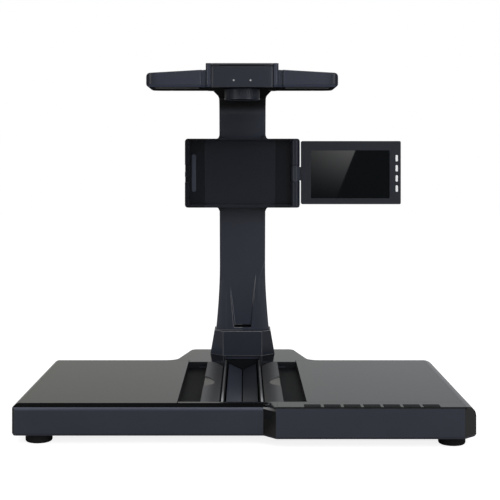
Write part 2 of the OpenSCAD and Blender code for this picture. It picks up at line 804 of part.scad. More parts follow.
module base_top_cover() color(shell_col) difference() {
  union() {
    difference() {
      translate([0, 0, cover_z]) linear_extrude(deck_z - cover_z) polygon(base_plan(0));
      // Hollow, which keeps its wall below the soft edges
      difference() {
        translate([0, 0, cover_z - 1]) linear_extrude(shelf_z - deck_t - cover_z + 1)
          polygon(base_plan(wall));
        translate([-wall, 0, -wall]) shoulder_cut();
        translate([wall, 0, -wall]) left_edge_cut();
      }
    }
    at_column() block(
      -recess_x - wall, trough_y - wall, bed_z - bed_t, recess_x + wall,
      trough_y + recess_len + wall, shelf_z
    );
    for (p = screw_spots) translate([p[0], p[1], cover_z]) rod(boss_dia, shelf_z - cover_z);
    // Posts that carry the key board
    for (x = [key_post_in - key_board_end, (key_n - 1) * key_pitch + key_board_end - key_post_in])
      translate([column_x + key_x + x, strip_y + key_y + key_d / 2, shelf_z - deck_t - key_room])
        rod(boss_dia - 2, key_room + tiny);
  }
  at_column() {
    block(
      -recess_x, trough_y, bed_z - bed_t - 1, recess_x, trough_y + recess_len, deck_z + 1
    );
    block(-rim_out, trough_y, bed_z - bed_t - 1, rim_out, collar_y + collar_wall, deck_z + 1);
    // Grooves that the slides' tabs run in
    both_sides() block(
      tab_x - slide_gap, trough_y - tab_l - slide_gap, tab_z - slide_gap,
      tab_x + tab_w + slide_travel + slide_gap, trough_y + recess_len + tab_l + slide_gap,
      tab_z + tab_t + slide_gap
    );
    mast_way(shelf_z - deck_t - 1, deck_z + 1);
  }
  block(
    left_x + edge_w, crest_y, shelf_z, column_x - recess_x + 1, rear_y - rear_rim, deck_z + 1
  );
  block(
    column_x + recess_x - 1, front_y + strip_back, shelf_z, board_right, rear_y - rear_rim,
    deck_z + 1
  );
  block(strip_x, strip_y + lip_w, shelf_z, board_right, front_y + strip_back + tiny, deck_z + 1);
  block(strip_x, strip_y - 1, deck_z - lip_drop, board_right, strip_y + lip_w + tiny, deck_z + 1);
  key_openings(key_gap, shelf_z - deck_t - 1, shelf_z + 1);
  front_edge_cut();
  shoulder_cut();
  left_edge_cut();
  for (p = screw_spots) translate([p[0], p[1], cover_z - 1])
    rod(screw_dia + 2 * screw_fit, screw_len + 1);
  at_column() {
    for (k = [-0.5, 0.5]) block(
      -main_x + k * usb_pitch - usb_w / 2, hump_y - wall - 1, cover_z + main_lift + pcb_t,
      -main_x + k * usb_pitch + usb_w / 2, hump_y + 1, cover_z + main_lift + pcb_t + usb_h
    );
    translate([jack_x, hump_y + 1, cover_z + jack_z]) rotate([90, 0, 0]) rod(jack_dia, wall + 2);
  }
}

module base_bottom_cover() color(shell_col) difference() {
  union() {
    bottom_plate();
    at_column() for (x = [-1, 1], y = [-1, 1])
      translate([
        -main_x + x * (main_w / 2 - main_post_in), main_y - main_d / 2
          + y * (main_d / 2 - main_post_in), cover_z - tiny
      ]) rod(boss_dia - 2, main_lift + tiny);
    // Ribs below the trough
    at_column() for (y = [trough_y + rib_in, trough_y + recess_len / 2, trough_y + recess_len - rib_in])
      block(-rim_out, y, cover_z - tiny, rim_out, y + wall, well_z);
  }
  for (p = screw_spots) translate([p[0], p[1], foot_h - 1]) {
    rod(screw_dia + 2 * screw_fit, bottom_t + 2);
    rod(screw_head + 0.4, screw_head_h + 1);
  }
  for (p = foot_spots) translate([p[0], p[1], foot_h - 1])
    rod(screw_dia + 2 * screw_fit, bottom_t + 2);
  at_column() for (x = [-1, 1], y = [-1, 1])
    translate([x * (plate_w / 2 - bolt_in), column_mid_y + y * (plate_d / 2 - bolt_in), foot_h - 1])
      rod(bolt_dia + 2 * screw_fit, bottom_t + 2);
}

// Bottom plate with a narrow lower edge, in two steps
module bottom_plate() {
  translate([0, 0, foot_h]) linear_extrude(bottom_t) polygon(base_plan(1.4));
  translate([0, 0, foot_h + bottom_t / 2]) linear_extrude(bottom_t / 2) polygon(base_plan(0.6));
}

module left_page_board() color(gloss_col) translate([0, 0, shelf_z]) linear_extrude(board_t)
  polygon(rounded(box_pts(
    left_x + edge_w + seam, crest_y + seam, column_x - recess_x, rear_y - rear_rim - seam
  ), [1, 0, 0, 2]));

module right_page_board() color(gloss_col) translate([0, 0, shelf_z]) linear_extrude(board_t)
  polygon(rounded(box_pts(
    column_x + recess_x, front_y + strip_back + seam, board_right - seam,
    rear_y - rear_rim - seam
  ), [0, 1, 2, 0]));

module control_strip() color(gloss_col) difference() {
  block(
    strip_x + seam, strip_y + lip_w + seam, shelf_z, board_right - seam,
    front_y + strip_back - seam, deck_z
  );
  key_openings(key_gap, shelf_z - 1, deck_z + 1);
  // The strip follows the slant of the front corner
  translate([right_x - corner_cut, strip_y, shelf_z - 1]) rotate(45)
    translate([-2, -corner_cut, 0]) cube([2 * corner_cut, corner_cut + lip_w, board_t + 2]);
  at_column() block(
    -recess_x, trough_y, shelf_z - 1, recess_x, trough_y + recess_len, deck_z + 1
  );
}

// A front key with its flange and the plunger that meets its switch
module front_key(k) color(matte_col) translate([column_x + key_x + (k - 1) * key_pitch, 0, 0]) {
  y0 = strip_y + key_y;
  under = shelf_z - deck_t - key_gap;
  foot = key_board_z + switch_h + key_travel + plunger_gap;
  block(-key_w / 2, y0, under - tiny, key_w / 2, y0 + key_d, deck_z + key_proud);
  block(
    -key_w / 2 - key_gap - key_flange, y0, under - flange_t,
    key_w / 2 + key_gap + key_flange, y0 + key_d, under
  );
  translate([0, y0 + key_d / 2, foot]) rod(plunger_dia, under - foot);
}

module key_board() color(board_col) {
  y = strip_y + key_y + key_d / 2;
  block(
    column_x + key_x - key_board_end, y - key_d / 2, key_board_z - pcb_t,
    column_x + key_x + (key_n - 1) * key_pitch + key_board_end, y + key_d / 2, key_board_z
  );
  for (k = [0 : key_n - 1]) translate([column_x + key_x + k * key_pitch, y, key_board_z - tiny])
    rod(switch_dia, switch_h + tiny);
}
key_board_z = shelf_z - deck_t - key_room;
key_post_in = boss_dia / 2;

// Bed that a slide runs on
module slide_bed() color(matte_col)
  block(rim_out, trough_y, bed_z - bed_t, recess_x, trough_y + recess_len, bed_z);
slide_mid_y = trough_y + recess_len / 2;
tab_x = slide_in + slide_wall + 1;
tab_z = deck_z - slide_h + 1;

// Section of a slide's top, drawn in by i, from the outer edge to the inner edge
function slide_top(i) =
  let (
    r = (slide_curve * slide_curve + slide_drop * slide_drop) / (2 * slide_drop),
    crest = slide_in + slide_curve,
    end = slide_in + i,
    a = asin((crest - end) / (r - i)),
    start = max(0, asin((crest - slide_out + i) / (r - i)))
  )
  [for (k = [0 : 10]) let (b = start + (a - start) * k / 10) [
    crest - (r - i) * sin(b), deck_z - r + (r - i) * cos(b)
  ]];

// Outer form of a slide
module slide_form()
  along_y(trough_y + slide_gap, trough_y + recess_len - slide_gap) polygon(concat(
    [[slide_in, deck_z - slide_h], [slide_out, deck_z - slide_h], [slide_out, deck_z]],
    slide_top(0)
  ));

module spine_slide() color(gloss_col) difference() {
  union() {
    difference() {
      slide_form();
      along_y(
        trough_y + slide_gap + slide_wall, trough_y + recess_len - slide_gap - slide_wall
      ) polygon(concat(
        [
          [slide_in + slide_wall, deck_z - slide_h - 1],
          [slide_out - slide_wall, deck_z - slide_h - 1]
        ],
        slide_top(slide_wall)
      ));
    }
    // Floor of the scoop
    intersection() {
      block(
        slide_out - scoop_w - 2, scoop_mid_y - scoop_len / 2 - 2, deck_z - scoop_h - slide_wall,
        slide_out - slide_wall, scoop_mid_y + scoop_len / 2 + 2, deck_z - scoop_h
      );
      slide_form();
    }
    for (y = [trough_y - tab_l, trough_y + recess_len - slide_gap - slide_wall])
      block(tab_x, y, tab_z, tab_x + tab_w, y + tab_l + slide_gap + slide_wall, tab_z + tab_t);
  }
  translate([slide_out - scoop_w + scoop_r, scoop_mid_y, deck_z - scoop_h])
    cylinder(r = scoop_r, h = scoop_h + 1, $fn = 96);
}
scoop_r = (scoop_len * scoop_len / 4 + scoop_w * scoop_w) / (2 * scoop_w);
scoop_mid_y = front_y + scoop_y;

module trough_well() color(matte_col) difference() {
  block(
    -rim_out, trough_y, well_z, rim_out, collar_y + collar_wall, deck_z - rim_drop
  );
  block(
    -rim_in, trough_y + wall, well_z + well_t, rim_in, collar_y, deck_z - rim_drop + 1
  );
}

// V floor of the trough, each half on its own leg
module trough_floor() color(shell_col) both_sides() {
  outer = rim_in - vee_gap;
  leg = outer / 2;
  along_y(trough_y + wall + vee_gap, collar_y - vee_gap) polygon([
    [groove, deck_z - vee_in_drop], [outer, deck_z - vee_out_drop],
    [outer, deck_z - vee_out_drop - vee_t], [leg + vee_t, deck_z - vee_in_drop + 1],
    [leg + vee_t, well_z + well_t], [leg, well_z + well_t], [leg, deck_z - vee_in_drop],
    [groove, deck_z - vee_in_drop - vee_t]
  ]);
}

module rubber_feet() color(matte_col) for (p = foot_spots) translate([p[0], p[1], 0])
  difference() {
    rotate_extrude() polygon(concat(
      [[0, 0]],
      [for (k = [0 : 6]) [
        foot_dia / 2 - foot_round + foot_round * sin(k * 15),
        foot_round - foot_round * cos(k * 15)
      ]],
      [[foot_dia / 2, foot_h], [0, foot_h]]
    ));
    translate([0, 0, -1]) rod(screw_head + 2, foot_h / 3 + 1);
    translate([0, 0, -1]) rod(screw_dia + 2 * screw_fit, foot_h + 2);
  }

// A screw with its shank up, from the underside of its head
module screw_up(len, dia, head, head_h) {
  translate([0, 0, -head_h]) rod(head, head_h);
  rod(dia, len);
}
module base_screws() color(steel_col) {
  for (p = screw_spots) translate([p[0], p[1], foot_h + screw_head_h])
    screw_up(screw_len - 1, screw_dia, screw_head, screw_head_h);
  for (p = foot_spots) translate([p[0], p[1], foot_h / 3])
    screw_up(foot_h * 2 / 3 + bottom_t, screw_dia, screw_head, screw_head_h);
}

module ballast_plate() color(steel_col) block(
  column_x + rim_out + ballast_gap, slide_mid_y - ballast_d / 2, cover_z,
  column_x + rim_out + ballast_gap + ballast_w, slide_mid_y + ballast_d / 2, cover_z + ballast_t
);

main_y = hump_y - wall - usb_d / 2;
module main_board() color(board_col) at_column() {
  z = cover_z + main_lift;
  block(-main_x - main_w / 2, main_y - main_d, z, -main_x + main_w / 2, main_y, z + pcb_t);
  translate([-main_x - chip_w / 2, main_y - main_d + chip_in, z + pcb_t - tiny])
    cube([chip_w, chip_w, chip_t + tiny]);
}

module usb_sockets() color(steel_col) at_column() for (k = [-0.5, 0.5])
  translate([-main_x + k * usb_pitch, hump_y - usb_d, cover_z + main_lift + pcb_t])
    difference() {
      block(-usb_w / 2, 0, 0, usb_w / 2, usb_d, usb_h);
      block(
        -usb_w / 2 + usb_wall, usb_wall * 2, usb_wall, usb_w / 2 - usb_wall, usb_d + 1,
        usb_h - usb_wall
      );
    }

module power_jack() color(matte_col) translate([column_x + jack_x, hump_y, cover_z + jack_z])
  rotate([90, 0, 0]) {
    difference() {
      rod(jack_dia, jack_len);
      translate([0, 0, -1]) rod(jack_bore, jack_len - wall + 1);
    }
    translate([0, 0, 1]) rod(jack_pin, jack_len - 1);
  }

// Width of the column at height z, and its front outline in X and Z
function flare(z) = let (t = max(0, (flare_z - z) / (flare_z - deck_z)))
  (waist_w + (column_foot_w - waist_w) * pow(t, flare_bend)) / 2;
function column_side() = concat(
  [for (k = [0 : 10]) let (z = deck_z + tiny + (flare_z - deck_z) * k / 10) [flare(z), z]],
  [[column_w / 2, head_z - neck_r]], [[column_w / 2, head_z]]
);
function column_outline(i) = concat(
  [for (p = column_side()) [p[0] - i, p[1]]],
  [for (k = [len(column_side()) - 1 : -1 : 0]) [-column_side()[k][0] + i, column_side()[k][1]]]
);
column_z = deck_z + collar_h;

// Column above the collar from y0 to y1, drawn in by i
module column_block(i, y0, y1) intersection() {
  along_y(y0, y1) polygon(column_outline(i));
  block(-column_foot_w, y0, column_z, column_foot_w, y1, head_z + 1);
}

module column_collar() color(shell_col) at_column() difference() {
  intersection() {
    translate([0, 0, deck_z]) linear_extrude(collar_h) polygon([
      [-collar_w / 2 + collar_cut, collar_y], [collar_w / 2 - collar_cut, collar_y],
      [collar_w / 2, collar_y + collar_cut], [collar_w / 2, column_rear_y],
      [-collar_w / 2, column_rear_y], [-collar_w / 2, collar_y + collar_cut]
    ]);
    along_y(collar_y - 1, column_rear_y + 1) polygon([
      [-collar_w / 2, deck_z], [collar_w / 2, deck_z], [collar_top_w / 2, deck_z + collar_h],
      [-collar_top_w / 2, deck_z + collar_h]
    ]);
  }
  block(
    -mast_w / 2 - collar_room, collar_y + collar_wall, deck_z - 1, mast_w / 2 + collar_room,
    column_rear_y - collar_wall, column_z - collar_wall
  );
  mast_way(deck_z, column_z + 1);
}
// Way for the mast, from z0 to z1
module mast_way(z0, z1) block(
  -mast_w / 2 - mast_gap, column_mid_y - mast_d / 2 - mast_gap, z0, mast_w / 2 + mast_gap,
  column_mid_y + mast_d / 2 + mast_gap, z1
);

// Recess that deepens towards its foot, with slanted side walls
module dip_cut() {
  z0 = column_z + 1.5 * slot_h;
  z1 = column_z + dip_h;
  mouth = dip_foot + dip_slant;
  near = column_front_y - 1;
  deep = column_front_y + dip_depth;
  polyhedron(
    points = [
      [-mouth, near, z0], [mouth, near, z0], [dip_top, near, z1], [-dip_top, near, z1],
      [-mouth, column_front_y, z0], [mouth, column_front_y, z0],
      [dip_top, column_front_y, z1], [-dip_top, column_front_y, z1],
      [-dip_foot, deep, z0], [dip_foot, deep, z0]
    ],
    faces = [
      [0, 3, 2, 1], [0, 1, 5, 9, 8, 4], [3, 7, 6, 2], [0, 4, 7, 3], [1, 2, 6, 5],
      [4, 8, 7], [5, 6, 9], [8, 9, 6, 7]
    ]
  );
}
// Facet beside the right crease, which turns back and fades out above the crease
module crease_cut() {
  z0 = column_z - 1;
  side = flare(column_z) + 1;
  near = column_front_y - 1;
  back = column_front_y + crease_back;
  polyhedron(
    points = [
      [crease_x, near, z0], [side, near, z0], [side, near, crease_z],
      [waist_w / 2, near, crease_top], [crease_x, near, crease_z],
      [crease_x, column_front_y, z0], [side, back, z0], [side, back, crease_z],
      [waist_w / 2, column_front_y, crease_top], [crease_x, column_front_y, crease_z]
    ],
    faces = [
      [0, 4, 3, 2, 1], [0, 1, 6, 5], [0, 5, 9, 4], [4, 9, 8, 3], [3, 8, 7, 2], [1, 2, 7, 6],
      [5, 6, 7, 9], [9, 7, 8]
    ]
  );
}
module column_front_shell() color(shell_col) at_column() difference() {
  union() {
    column_block(0, column_front_y, column_mid_y);
    // Fillet below the arm
    along_x(-column_w / 2, column_w / 2) polygon(concat(
      [[column_front_y + 1, head_z], [column_front_y - neck_r, head_z]],
      [for (k = [0 : 10]) [
        column_front_y - neck_r + neck_r * sin(k * 9), head_z - neck_r + neck_r * cos(k * 9)
      ]],
      [[column_front_y + 1, head_z - neck_r]]
    ));
  }
  translate([0, 0, -tiny]) {
    column_block(column_wall, column_front_y + column_wall + dip_depth, column_mid_y + 1);
    column_block(column_wall, column_mid_y - 4, column_mid_y + 1);
  }
  // Hollow of the fillet
  block(
    -column_w / 2 + column_wall, column_front_y - neck_r / 4, head_z - neck_r / 4,
    column_w / 2 - column_wall, column_mid_y + 1, head_z + 1
  );
  dip_cut();
  both_sides() crease_cut();
  // Slot at the foot of the recess
  block(
    -slot_half, column_front_y - 1, column_z + slot_h, slot_half,
    column_front_y + column_wall + dip_depth + 1, column_z + 2 * slot_h
  );
}

module column_rear_shell() color(shell_col) at_column() difference() {
  column_block(0, column_mid_y, column_rear_y);
  translate([0, 0, -tiny])
    column_block(column_wall, column_mid_y - 1, column_rear_y - column_wall);
}

module steel_mast() color(steel_col) at_column() difference() {
  union() {
    block(
      -mast_w / 2, column_mid_y - mast_d / 2, cover_z, mast_w / 2, column_mid_y + mast_d / 2,
      head_z + under_t
    );
    block(
      -plate_w / 2, column_mid_y - plate_d / 2, cover_z, plate_w / 2,
      column_mid_y + plate_d / 2, cover_z + plate_t
    );
  }
  block(
    -mast_w / 2 + mast_wall, column_mid_y - mast_d / 2 + mast_wall, cover_z + plate_t,
    mast_w / 2 - mast_wall, column_mid_y + mast_d / 2 - mast_wall, head_z + under_t + 1
  );
  for (x = [-1, 1], y = [-1, 1])
    translate([x * (plate_w / 2 - bolt_in), column_mid_y + y * (plate_d / 2 - bolt_in), cover_z - 1])
      rod(bolt_dia + 2 * screw_fit, plate_t + 2);
  // Way into the mast for the loom
  block(
    -loom_dia / 2 - 1, column_mid_y - mast_d / 2 - 1, cover_z + plate_t, loom_dia / 2 + 1,
    column_mid_y, cover_z + plate_t + loom_dia + 3
  );
}

module mast_bolts() color(steel_col) at_column() for (x = [-1, 1], y = [-1, 1])
  translate([
    x * (plate_w / 2 - bolt_in), column_mid_y + y * (plate_d / 2 - bolt_in), cover_z + plate_t
  ]) {
    rod(bolt_head, bolt_head_h);
    translate([0, 0, -plate_t - bottom_t + 0.5]) rod(bolt_dia, plate_t + bottom_t);
  }

module wiring_loom() color(matte_col) at_column() {
  z = cover_z + plate_t + loom_dia / 2 + 1;
  y = column_mid_y + mast_d / 2 - mast_wall - loom_dia / 2 - screw_fit;
  translate([0, y, z - loom_dia / 2]) rod(loom_dia, head_z + under_t - z);
  translate([0, y, z]) rotate([90, 0, 0]) rod(loom_dia, mast_d);
}

// Box outline in X and Z, drawn in by i
function box_outline(i) = rounded(box_pts(
  -box_left + i, box_z + i, box_right - i, box_z + box_h - i
), even(max(box_r - i, 0.5)));
cover_y = box_y + cover_d;

module box_rear_shell() color(shell_col) at_column() difference() {
  union() {
    along_y(cover_y, column_front_y) polygon(box_outline(0));
    // Fillets to the column
    for (s = [-1, 1], v = [0, 1]) scale([s, 1, 1]) along_y(cover_y, column_front_y)
      difference() {
        z = v == 0 ? box_z - box_fillet : box_z + box_h - tiny;
        translate([column_w / 2 - box_fillet, z]) square([2 * box_fillet, box_fillet + tiny]);
        translate([
          column_w / 2 + box_fillet, v == 0 ? box_z - box_fillet : box_z + box_h + box_fillet
        ]) circle(r = box_fillet);
      }
  }
  along_y(cover_y - 1, column_front_y - box_wall) polygon(box_outline(box_wall));
  // Way for the loom's branch
  translate([0, column_front_y + 1, box_z + box_h / 2]) rotate([90, 0, 0])
    rod(loom_dia + 3, box_wall + 3);
}

// Place of the folded display in the tray
fold_left = 2 * hinge_x - display_x - display_w;
fold_right = 2 * hinge_x - display_x;
display_z = box_z + display_lift;
display_y = box_y;
hinge_y = display_y + display_t / 2;
knuckle_z = box_z + knuckle_lift;
tilt_z = display_z + display_h / 2;

tray_left = fold_left - tray_gap;
tray_low = display_z - tray_gap;
tray_top = display_z + display_h + tray_gap;
module box_front_cover() color(shell_col) at_column() difference() {
  along_y(box_y, cover_y) polygon(box_outline(0));
  // Tray for the folded display, with a raised panel on its floor
  difference() {
    along_y(box_y - 1, box_y + tray_d) polygon(rounded(box_pts(
      tray_left, tray_low, hinge_x - barrel_dia / 2 + tiny, tray_top
    ), even(2)));
    along_y(box_y + tray_d - raised_t, box_y + tray_d + 1) polygon(rounded(box_pts(
      -raised_left, tray_low, raised_right, tray_top
    ), [box_r, box_r, 0, 0]));
  }
  // Back of the cover
  along_y(box_y + tray_d + box_wall, cover_y + 1) polygon(box_outline(box_wall));
  // Hinge barrels stand free in front
  difference() {
    block(
      hinge_x - barrel_dia / 2, box_y - 1, box_z + box_wall, box_right + 1, hinge_y,
      box_z + box_h - box_wall
    );
    translate([hinge_x, hinge_y, box_z]) cylinder(d = barrel_dia, h = box_h);
  }
  // Room for the knuckle
  block(
    fold_right - 1, box_y - 1, knuckle_z - knuckle_gap, box_right + 1, box_y + tray_d,
    knuckle_z + knuckle_h + knuckle_gap
  );
  translate([hinge_x, hinge_y, box_z + pin_end])
    cylinder(d = pin_dia + 2 * hinge_fit, h = box_h - 2 * pin_end);
  // Notches above and below the catch, which stands back a little
  for (n = [
    [notch_lift, notch_low_h, notch_d],
    [notch_lift + notch_low_h - tiny, catch_h + 2 * tiny, catch_back],
    [notch_lift + notch_low_h + catch_h, notch_up_h, notch_d]
  ]) block(
    -box_left - 1, box_y - 1, box_z + n[0], fold_left, box_y + n[2], box_z + n[0] + n[1]
  );
}

// Pad with round ends that the folded display rests on
module rest_pad() color(matte_col) at_column() along_y(box_y + tray_d - pad_t, box_y + tray_d)
  polygon(rounded(box_pts(
    tray_left + pad_in, box_z + (box_h - pad_h) / 2, tray_left + pad_in + pad_w,
    box_z + (box_h + pad_h) / 2
  ), even(pad_w / 2)));

module hinge_pin() color(steel_col) at_column() translate([hinge_x, hinge_y, box_z + pin_end + 0.1])
  cylinder(d = pin_dia, h = box_h - 2 * pin_end - 0.2);

// Knuckle on the pin, with the bracket that reaches the display
module hinge_knuckle() color(shell_col) at_column() difference() {
  union() {
    translate([hinge_x, hinge_y, knuckle_z]) cylinder(d = barrel_dia - 0.4, h = knuckle_h);
    block(
      hinge_x, hinge_y - display_t / 2 + 2, knuckle_z + 1, display_x - 0.3,
      hinge_y + display_t / 2 - 2, knuckle_z + knuckle_h - 1
    );
  }
  translate([hinge_x, hinge_y, knuckle_z - 1]) cylinder(d = pin_dia + 2 * hinge_fit, h = knuckle_h + 2);
}

module tilt_shaft() color(steel_col) at_column() translate([display_x - 0.3, hinge_y, tilt_z])
  rotate([0, 90, 0]) rod(shaft_dia, shaft_in);

// Display outline in X and Z, drawn in by i
function display_outline(i) = rounded(box_pts(
  display_x + i, display_z + i, display_x + display_w - i, display_z + display_h - i
), even(max(display_r - i, 0.3)));
module screen_area(grow, y0, y1) block(
  display_x + screen_x - grow, y0, display_z + screen_z - grow,
  display_x + screen_x + screen_w + grow, y1, display_z + screen_z + screen_h + grow
);
bezel_y = display_y + bezel_d;
lcd_y = display_y + glass_in + glass_t;
dkey_x = display_x + display_w - dkey_in;

module shaft_way() translate([display_x - 1, hinge_y, tilt_z]) rotate([0, 90, 0])
  rod(shaft_dia + 2 * hinge_fit, shaft_in + 2);
module display_bezel() color(shell_col) at_column() difference() {
  along_y(display_y, bezel_y) polygon(display_outline(0));
  along_y(display_y + display_wall, bezel_y + 1) polygon(display_outline(display_wall));
  screen_area(0, display_y - 1, bezel_y);
  screen_area(2, display_y + glass_in, bezel_y);
  for (k = [0 : dkey_n - 1]) translate([dkey_x, 0, display_z + dkey_z + k * dkey_pitch])
    along_y(display_y - 1, bezel_y) polygon(dkey_outline(dkey_gap));
  shaft_way();
}

module display_back_cover() color(shell_col) at_column() difference() {
  union() {
    difference() {
      along_y(bezel_y, display_y + display_t) polygon(display_outline(0));
      along_y(bezel_y - 1, display_y + display_t - display_wall)
        polygon(display_outline(display_wall));
    }
    // Block that carries the tilt shaft
    block(
      display_x + 0.5, bezel_y, tilt_z - shaft_dia, display_x + shaft_in + 1.5,
      display_y + display_t - 1, tilt_z + shaft_dia
    );
    // Posts that hold the display board
    for (
      x = [display_x + dpost_in, display_x + display_w - dpost_in],
      z = [display_z + dpost_in, display_z + display_h - dpost_in]
    )
      translate([x, display_y + display_t - 1, z]) rotate([90, 0, 0])
        rod(dpost_dia, display_t - 1 - (board_y - display_y) - pcb_t);
  }
  shaft_way();
}
board_y = lcd_y + lcd_t + 1;
// Outline of a display key, drawn out by grow
function dkey_outline(grow) =
  let (w = dkey_w / 2 + grow, h = dkey_h / 2 + grow)
  rounded(box_pts(-w, -h, w, h), even(w * 0.9));

module display_glass() color([0.05, 0.06, 0.07]) at_column()
  screen_area(2 - seam, display_y + glass_in, display_y + glass_in + glass_t);
module lcd_panel() color(matte_col) at_column() screen_area(1, lcd_y, lcd_y + lcd_t);
module display_board() color(board_col) at_column() {
  block(
    display_x + dboard_left, board_y, display_z + dboard_in,
    display_x + display_w - dboard_in, board_y + pcb_t, display_z + display_h - dboard_in
  );
  for (x = [0, 1], z = [0, 1]) translate([
    display_x + screen_x + lcd_post_in + x * (screen_w - 2 * lcd_post_in), board_y + tiny,
    display_z + screen_z + lcd_post_in + z * (screen_h - 2 * lcd_post_in)
  ]) rotate([90, 0, 0]) rod(3, board_y - lcd_y - lcd_t + tiny);
  for (k = [0 : dkey_n - 1])
    translate([dkey_x, board_y + tiny, display_z + dkey_z + k * dkey_pitch]) rotate([90, 0, 0])
      rod(dswitch_dia, dswitch_h);
}
module display_key(k) color([0.85, 0.86, 0.88]) at_column()
  translate([dkey_x, 0, display_z + dkey_z + (k - 1) * dkey_pitch]) {
    inside = display_y + display_wall + dkey_gap;
    along_y(display_y - dkey_proud, board_y - dswitch_h - plunger_gap - dkey_travel)
      polygon(dkey_outline(0));
    along_y(inside, inside + dkey_flange_t) polygon(dkey_outline(dkey_flange));
  }

// Wings in X and Z, drawn in by i
function wing_outline(i) = rounded([
  [-wing_half + i, head_z], [wing_half - i, head_z], [wing_half - i, head_z + wing_tip - i],
  [block_half, head_z + wing_root - i], [-block_half, head_z + wing_root - i],
  [-wing_half + i, head_z + wing_tip - i]
], [wing_r, wing_r, wing_r, 0, 0, wing_r]);
// Plan of the head: wings with grooves beside the block, block and arm
module wing_plan(i) {
  neck = block_half + groove_w + i;
  polygon(rounded([
    [-wing_half + i, head_y + i], [-neck, head_y + i], [-neck, head_y + groove_d + i],
    [neck, head_y + groove_d + i], [neck, head_y + i], [wing_half - i, head_y + i],
    [wing_half - i, head_y + wing_d - i], [-wing_half + i, head_y + wing_d - i]
  ], [
    wing_front_r - i, max(groove_r - i, 0.5), 0, 0, max(groove_r - i, 0.5), wing_front_r - i,
    wing_back_r - i, wing_back_r - i
  ]));
}
module block_plan(i) polygon(rounded(box_pts(
  -block_half + i, head_y + i, block_half - i, head_y + block_d - i
), [block_front_r - i, block_front_r - i, block_r - i, block_r - i]));
module arm_plan(i) {
  taper_y = head_y + wing_d + arm_taper;
  polygon([
    [-arm_half + i, head_y + wing_d - 1], [arm_half - i, head_y + wing_d - 1],
    [column_w / 2 - i, taper_y], [column_w / 2 - i, column_rear_y - i],
    [-column_w / 2 + i, column_rear_y - i], [-column_w / 2 + i, taper_y]
  ]);
}
// Head solid above z0, drawn in by i
module head_form(i, z0) {
  intersection() {
    translate([0, 0, z0]) linear_extrude(wing_root + 1) wing_plan(i);
    along_y(head_y - 1, head_y + wing_d + 1) polygon(wing_outline(i));
  }
  translate([0, 0, z0]) linear_extrude(head_z + block_h - i - z0) block_plan(i);
  intersection() {
    translate([0, 0, z0]) linear_extrude(head_z + arm_h - i - z0) arm_plan(i);
    along_x(-arm_half, arm_half) polygon(rounded(box_pts(
      head_y, head_z, column_rear_y - i, head_z + arm_h - i
    ), [0, 0, arm_back_r, 0]));
  }
}
split_z = head_z + under_t;
head_screw_y = head_y + wing_d - head_screw_in;
head_spots = [for (x = [-1, 1]) each [
  [x * (wing_half - head_screw_tip), head_screw_y],
  [x * (block_half - head_screw_block), head_screw_y],
  [x * (bracket_w / 2 + head_screw_block), column_front_y - head_screw_arm]
]];

module head_upper_cover() color(shell_col) at_column() difference() {
  union() {
    difference() {
      head_form(0, split_z);
      head_form(head_wall, split_z - 1);
    }
    intersection() {
      head_form(0, split_z);
      for (p = head_spots) translate([p[0], p[1], split_z]) rod(head_boss, block_h);
    }
  }
  // Seat of the front panel
  block(
    -panel_half - seam, head_y - 1, head_z, panel_half + seam, head_y + panel_t,
    head_z + block_h + 1
  );
  for (p = head_spots) translate([p[0], p[1], split_z - 1])
    rod(screw_dia + 2 * screw_fit, head_screw_len + 2);
}

module head_lower_cover() color(matte_col) at_column() difference() {
  intersection() {
    head_form(0, head_z);
    block(-wing_half, head_y, head_z, wing_half, column_rear_y, split_z);
  }
  block(-panel_half - seam, head_y - 1, head_z - 1, panel_half + seam, head_y + panel_t, split_z + 1);
  // Ways for the lens barrel, the lamps and the mast
  translate([0, lens_y, head_z - 1]) rod(tube_dia, under_t + 2);
  both_sides() translate([lamp_x, lamp_y, head_z - 1]) {
    block(-lamp_w / 2, -lamp_d / 2, 0, lamp_w / 2, lamp_d / 2, 1 + lamp_t);
    block(
      -lamp_w / 2 + lamp_ledge, -lamp_d / 2 + lamp_ledge, 0, lamp_w / 2 - lamp_ledge,
      lamp_d / 2 - lamp_ledge, under_t + 2
    );
  }
  mast_way(head_z - 1, split_z + 1);
  for (p = head_spots) translate([p[0], p[1], head_z - 1]) {
    rod(screw_dia + 2 * screw_fit, under_t + 2);
    rod(screw_head + 0.4, screw_head_h + 1);
  }
}

module head_front_panel() color(shell_col) at_column() difference() {
  translate([0, 0, head_z]) linear_extrude(block_h) polygon(concat(
    [[-panel_half, head_y + panel_t], [panel_half, head_y + panel_t]],
    panel_edge(1), [for (k = [8 : -1 : 0]) panel_edge(-1)[k]]
  ));
  block(
    -panel_slot_w / 2, head_y - 1, head_z + block_h - panel_slot_top - panel_slot_h,
    panel_slot_w / 2, head_y + panel_t / 2, head_z + block_h - panel_slot_top
  );
  for (s = [-1, 1]) translate([s * led_half, head_y + panel_t + 1, head_z + led_z])
    rotate([90, 0, 0]) rod(led_dia, panel_t + 2);
}
// Round of the front panel's right edge, side 1, or left edge, side -1
function panel_edge(side) = [for (k = [0 : 8]) let (p = ease(panel_edge_w, panel_edge_d)[8 - k]) [
  side * (panel_half - panel_edge_w + p[0]), head_y - p[1]
]];
module head_indicators() color([0.85, 0.88, 0.9]) at_column() for (s = [-1, 1])
  translate([s * led_half, head_y + panel_t, head_z + led_z]) rotate([90, 0, 0])
    rod(led_dia, panel_t - 0.2);

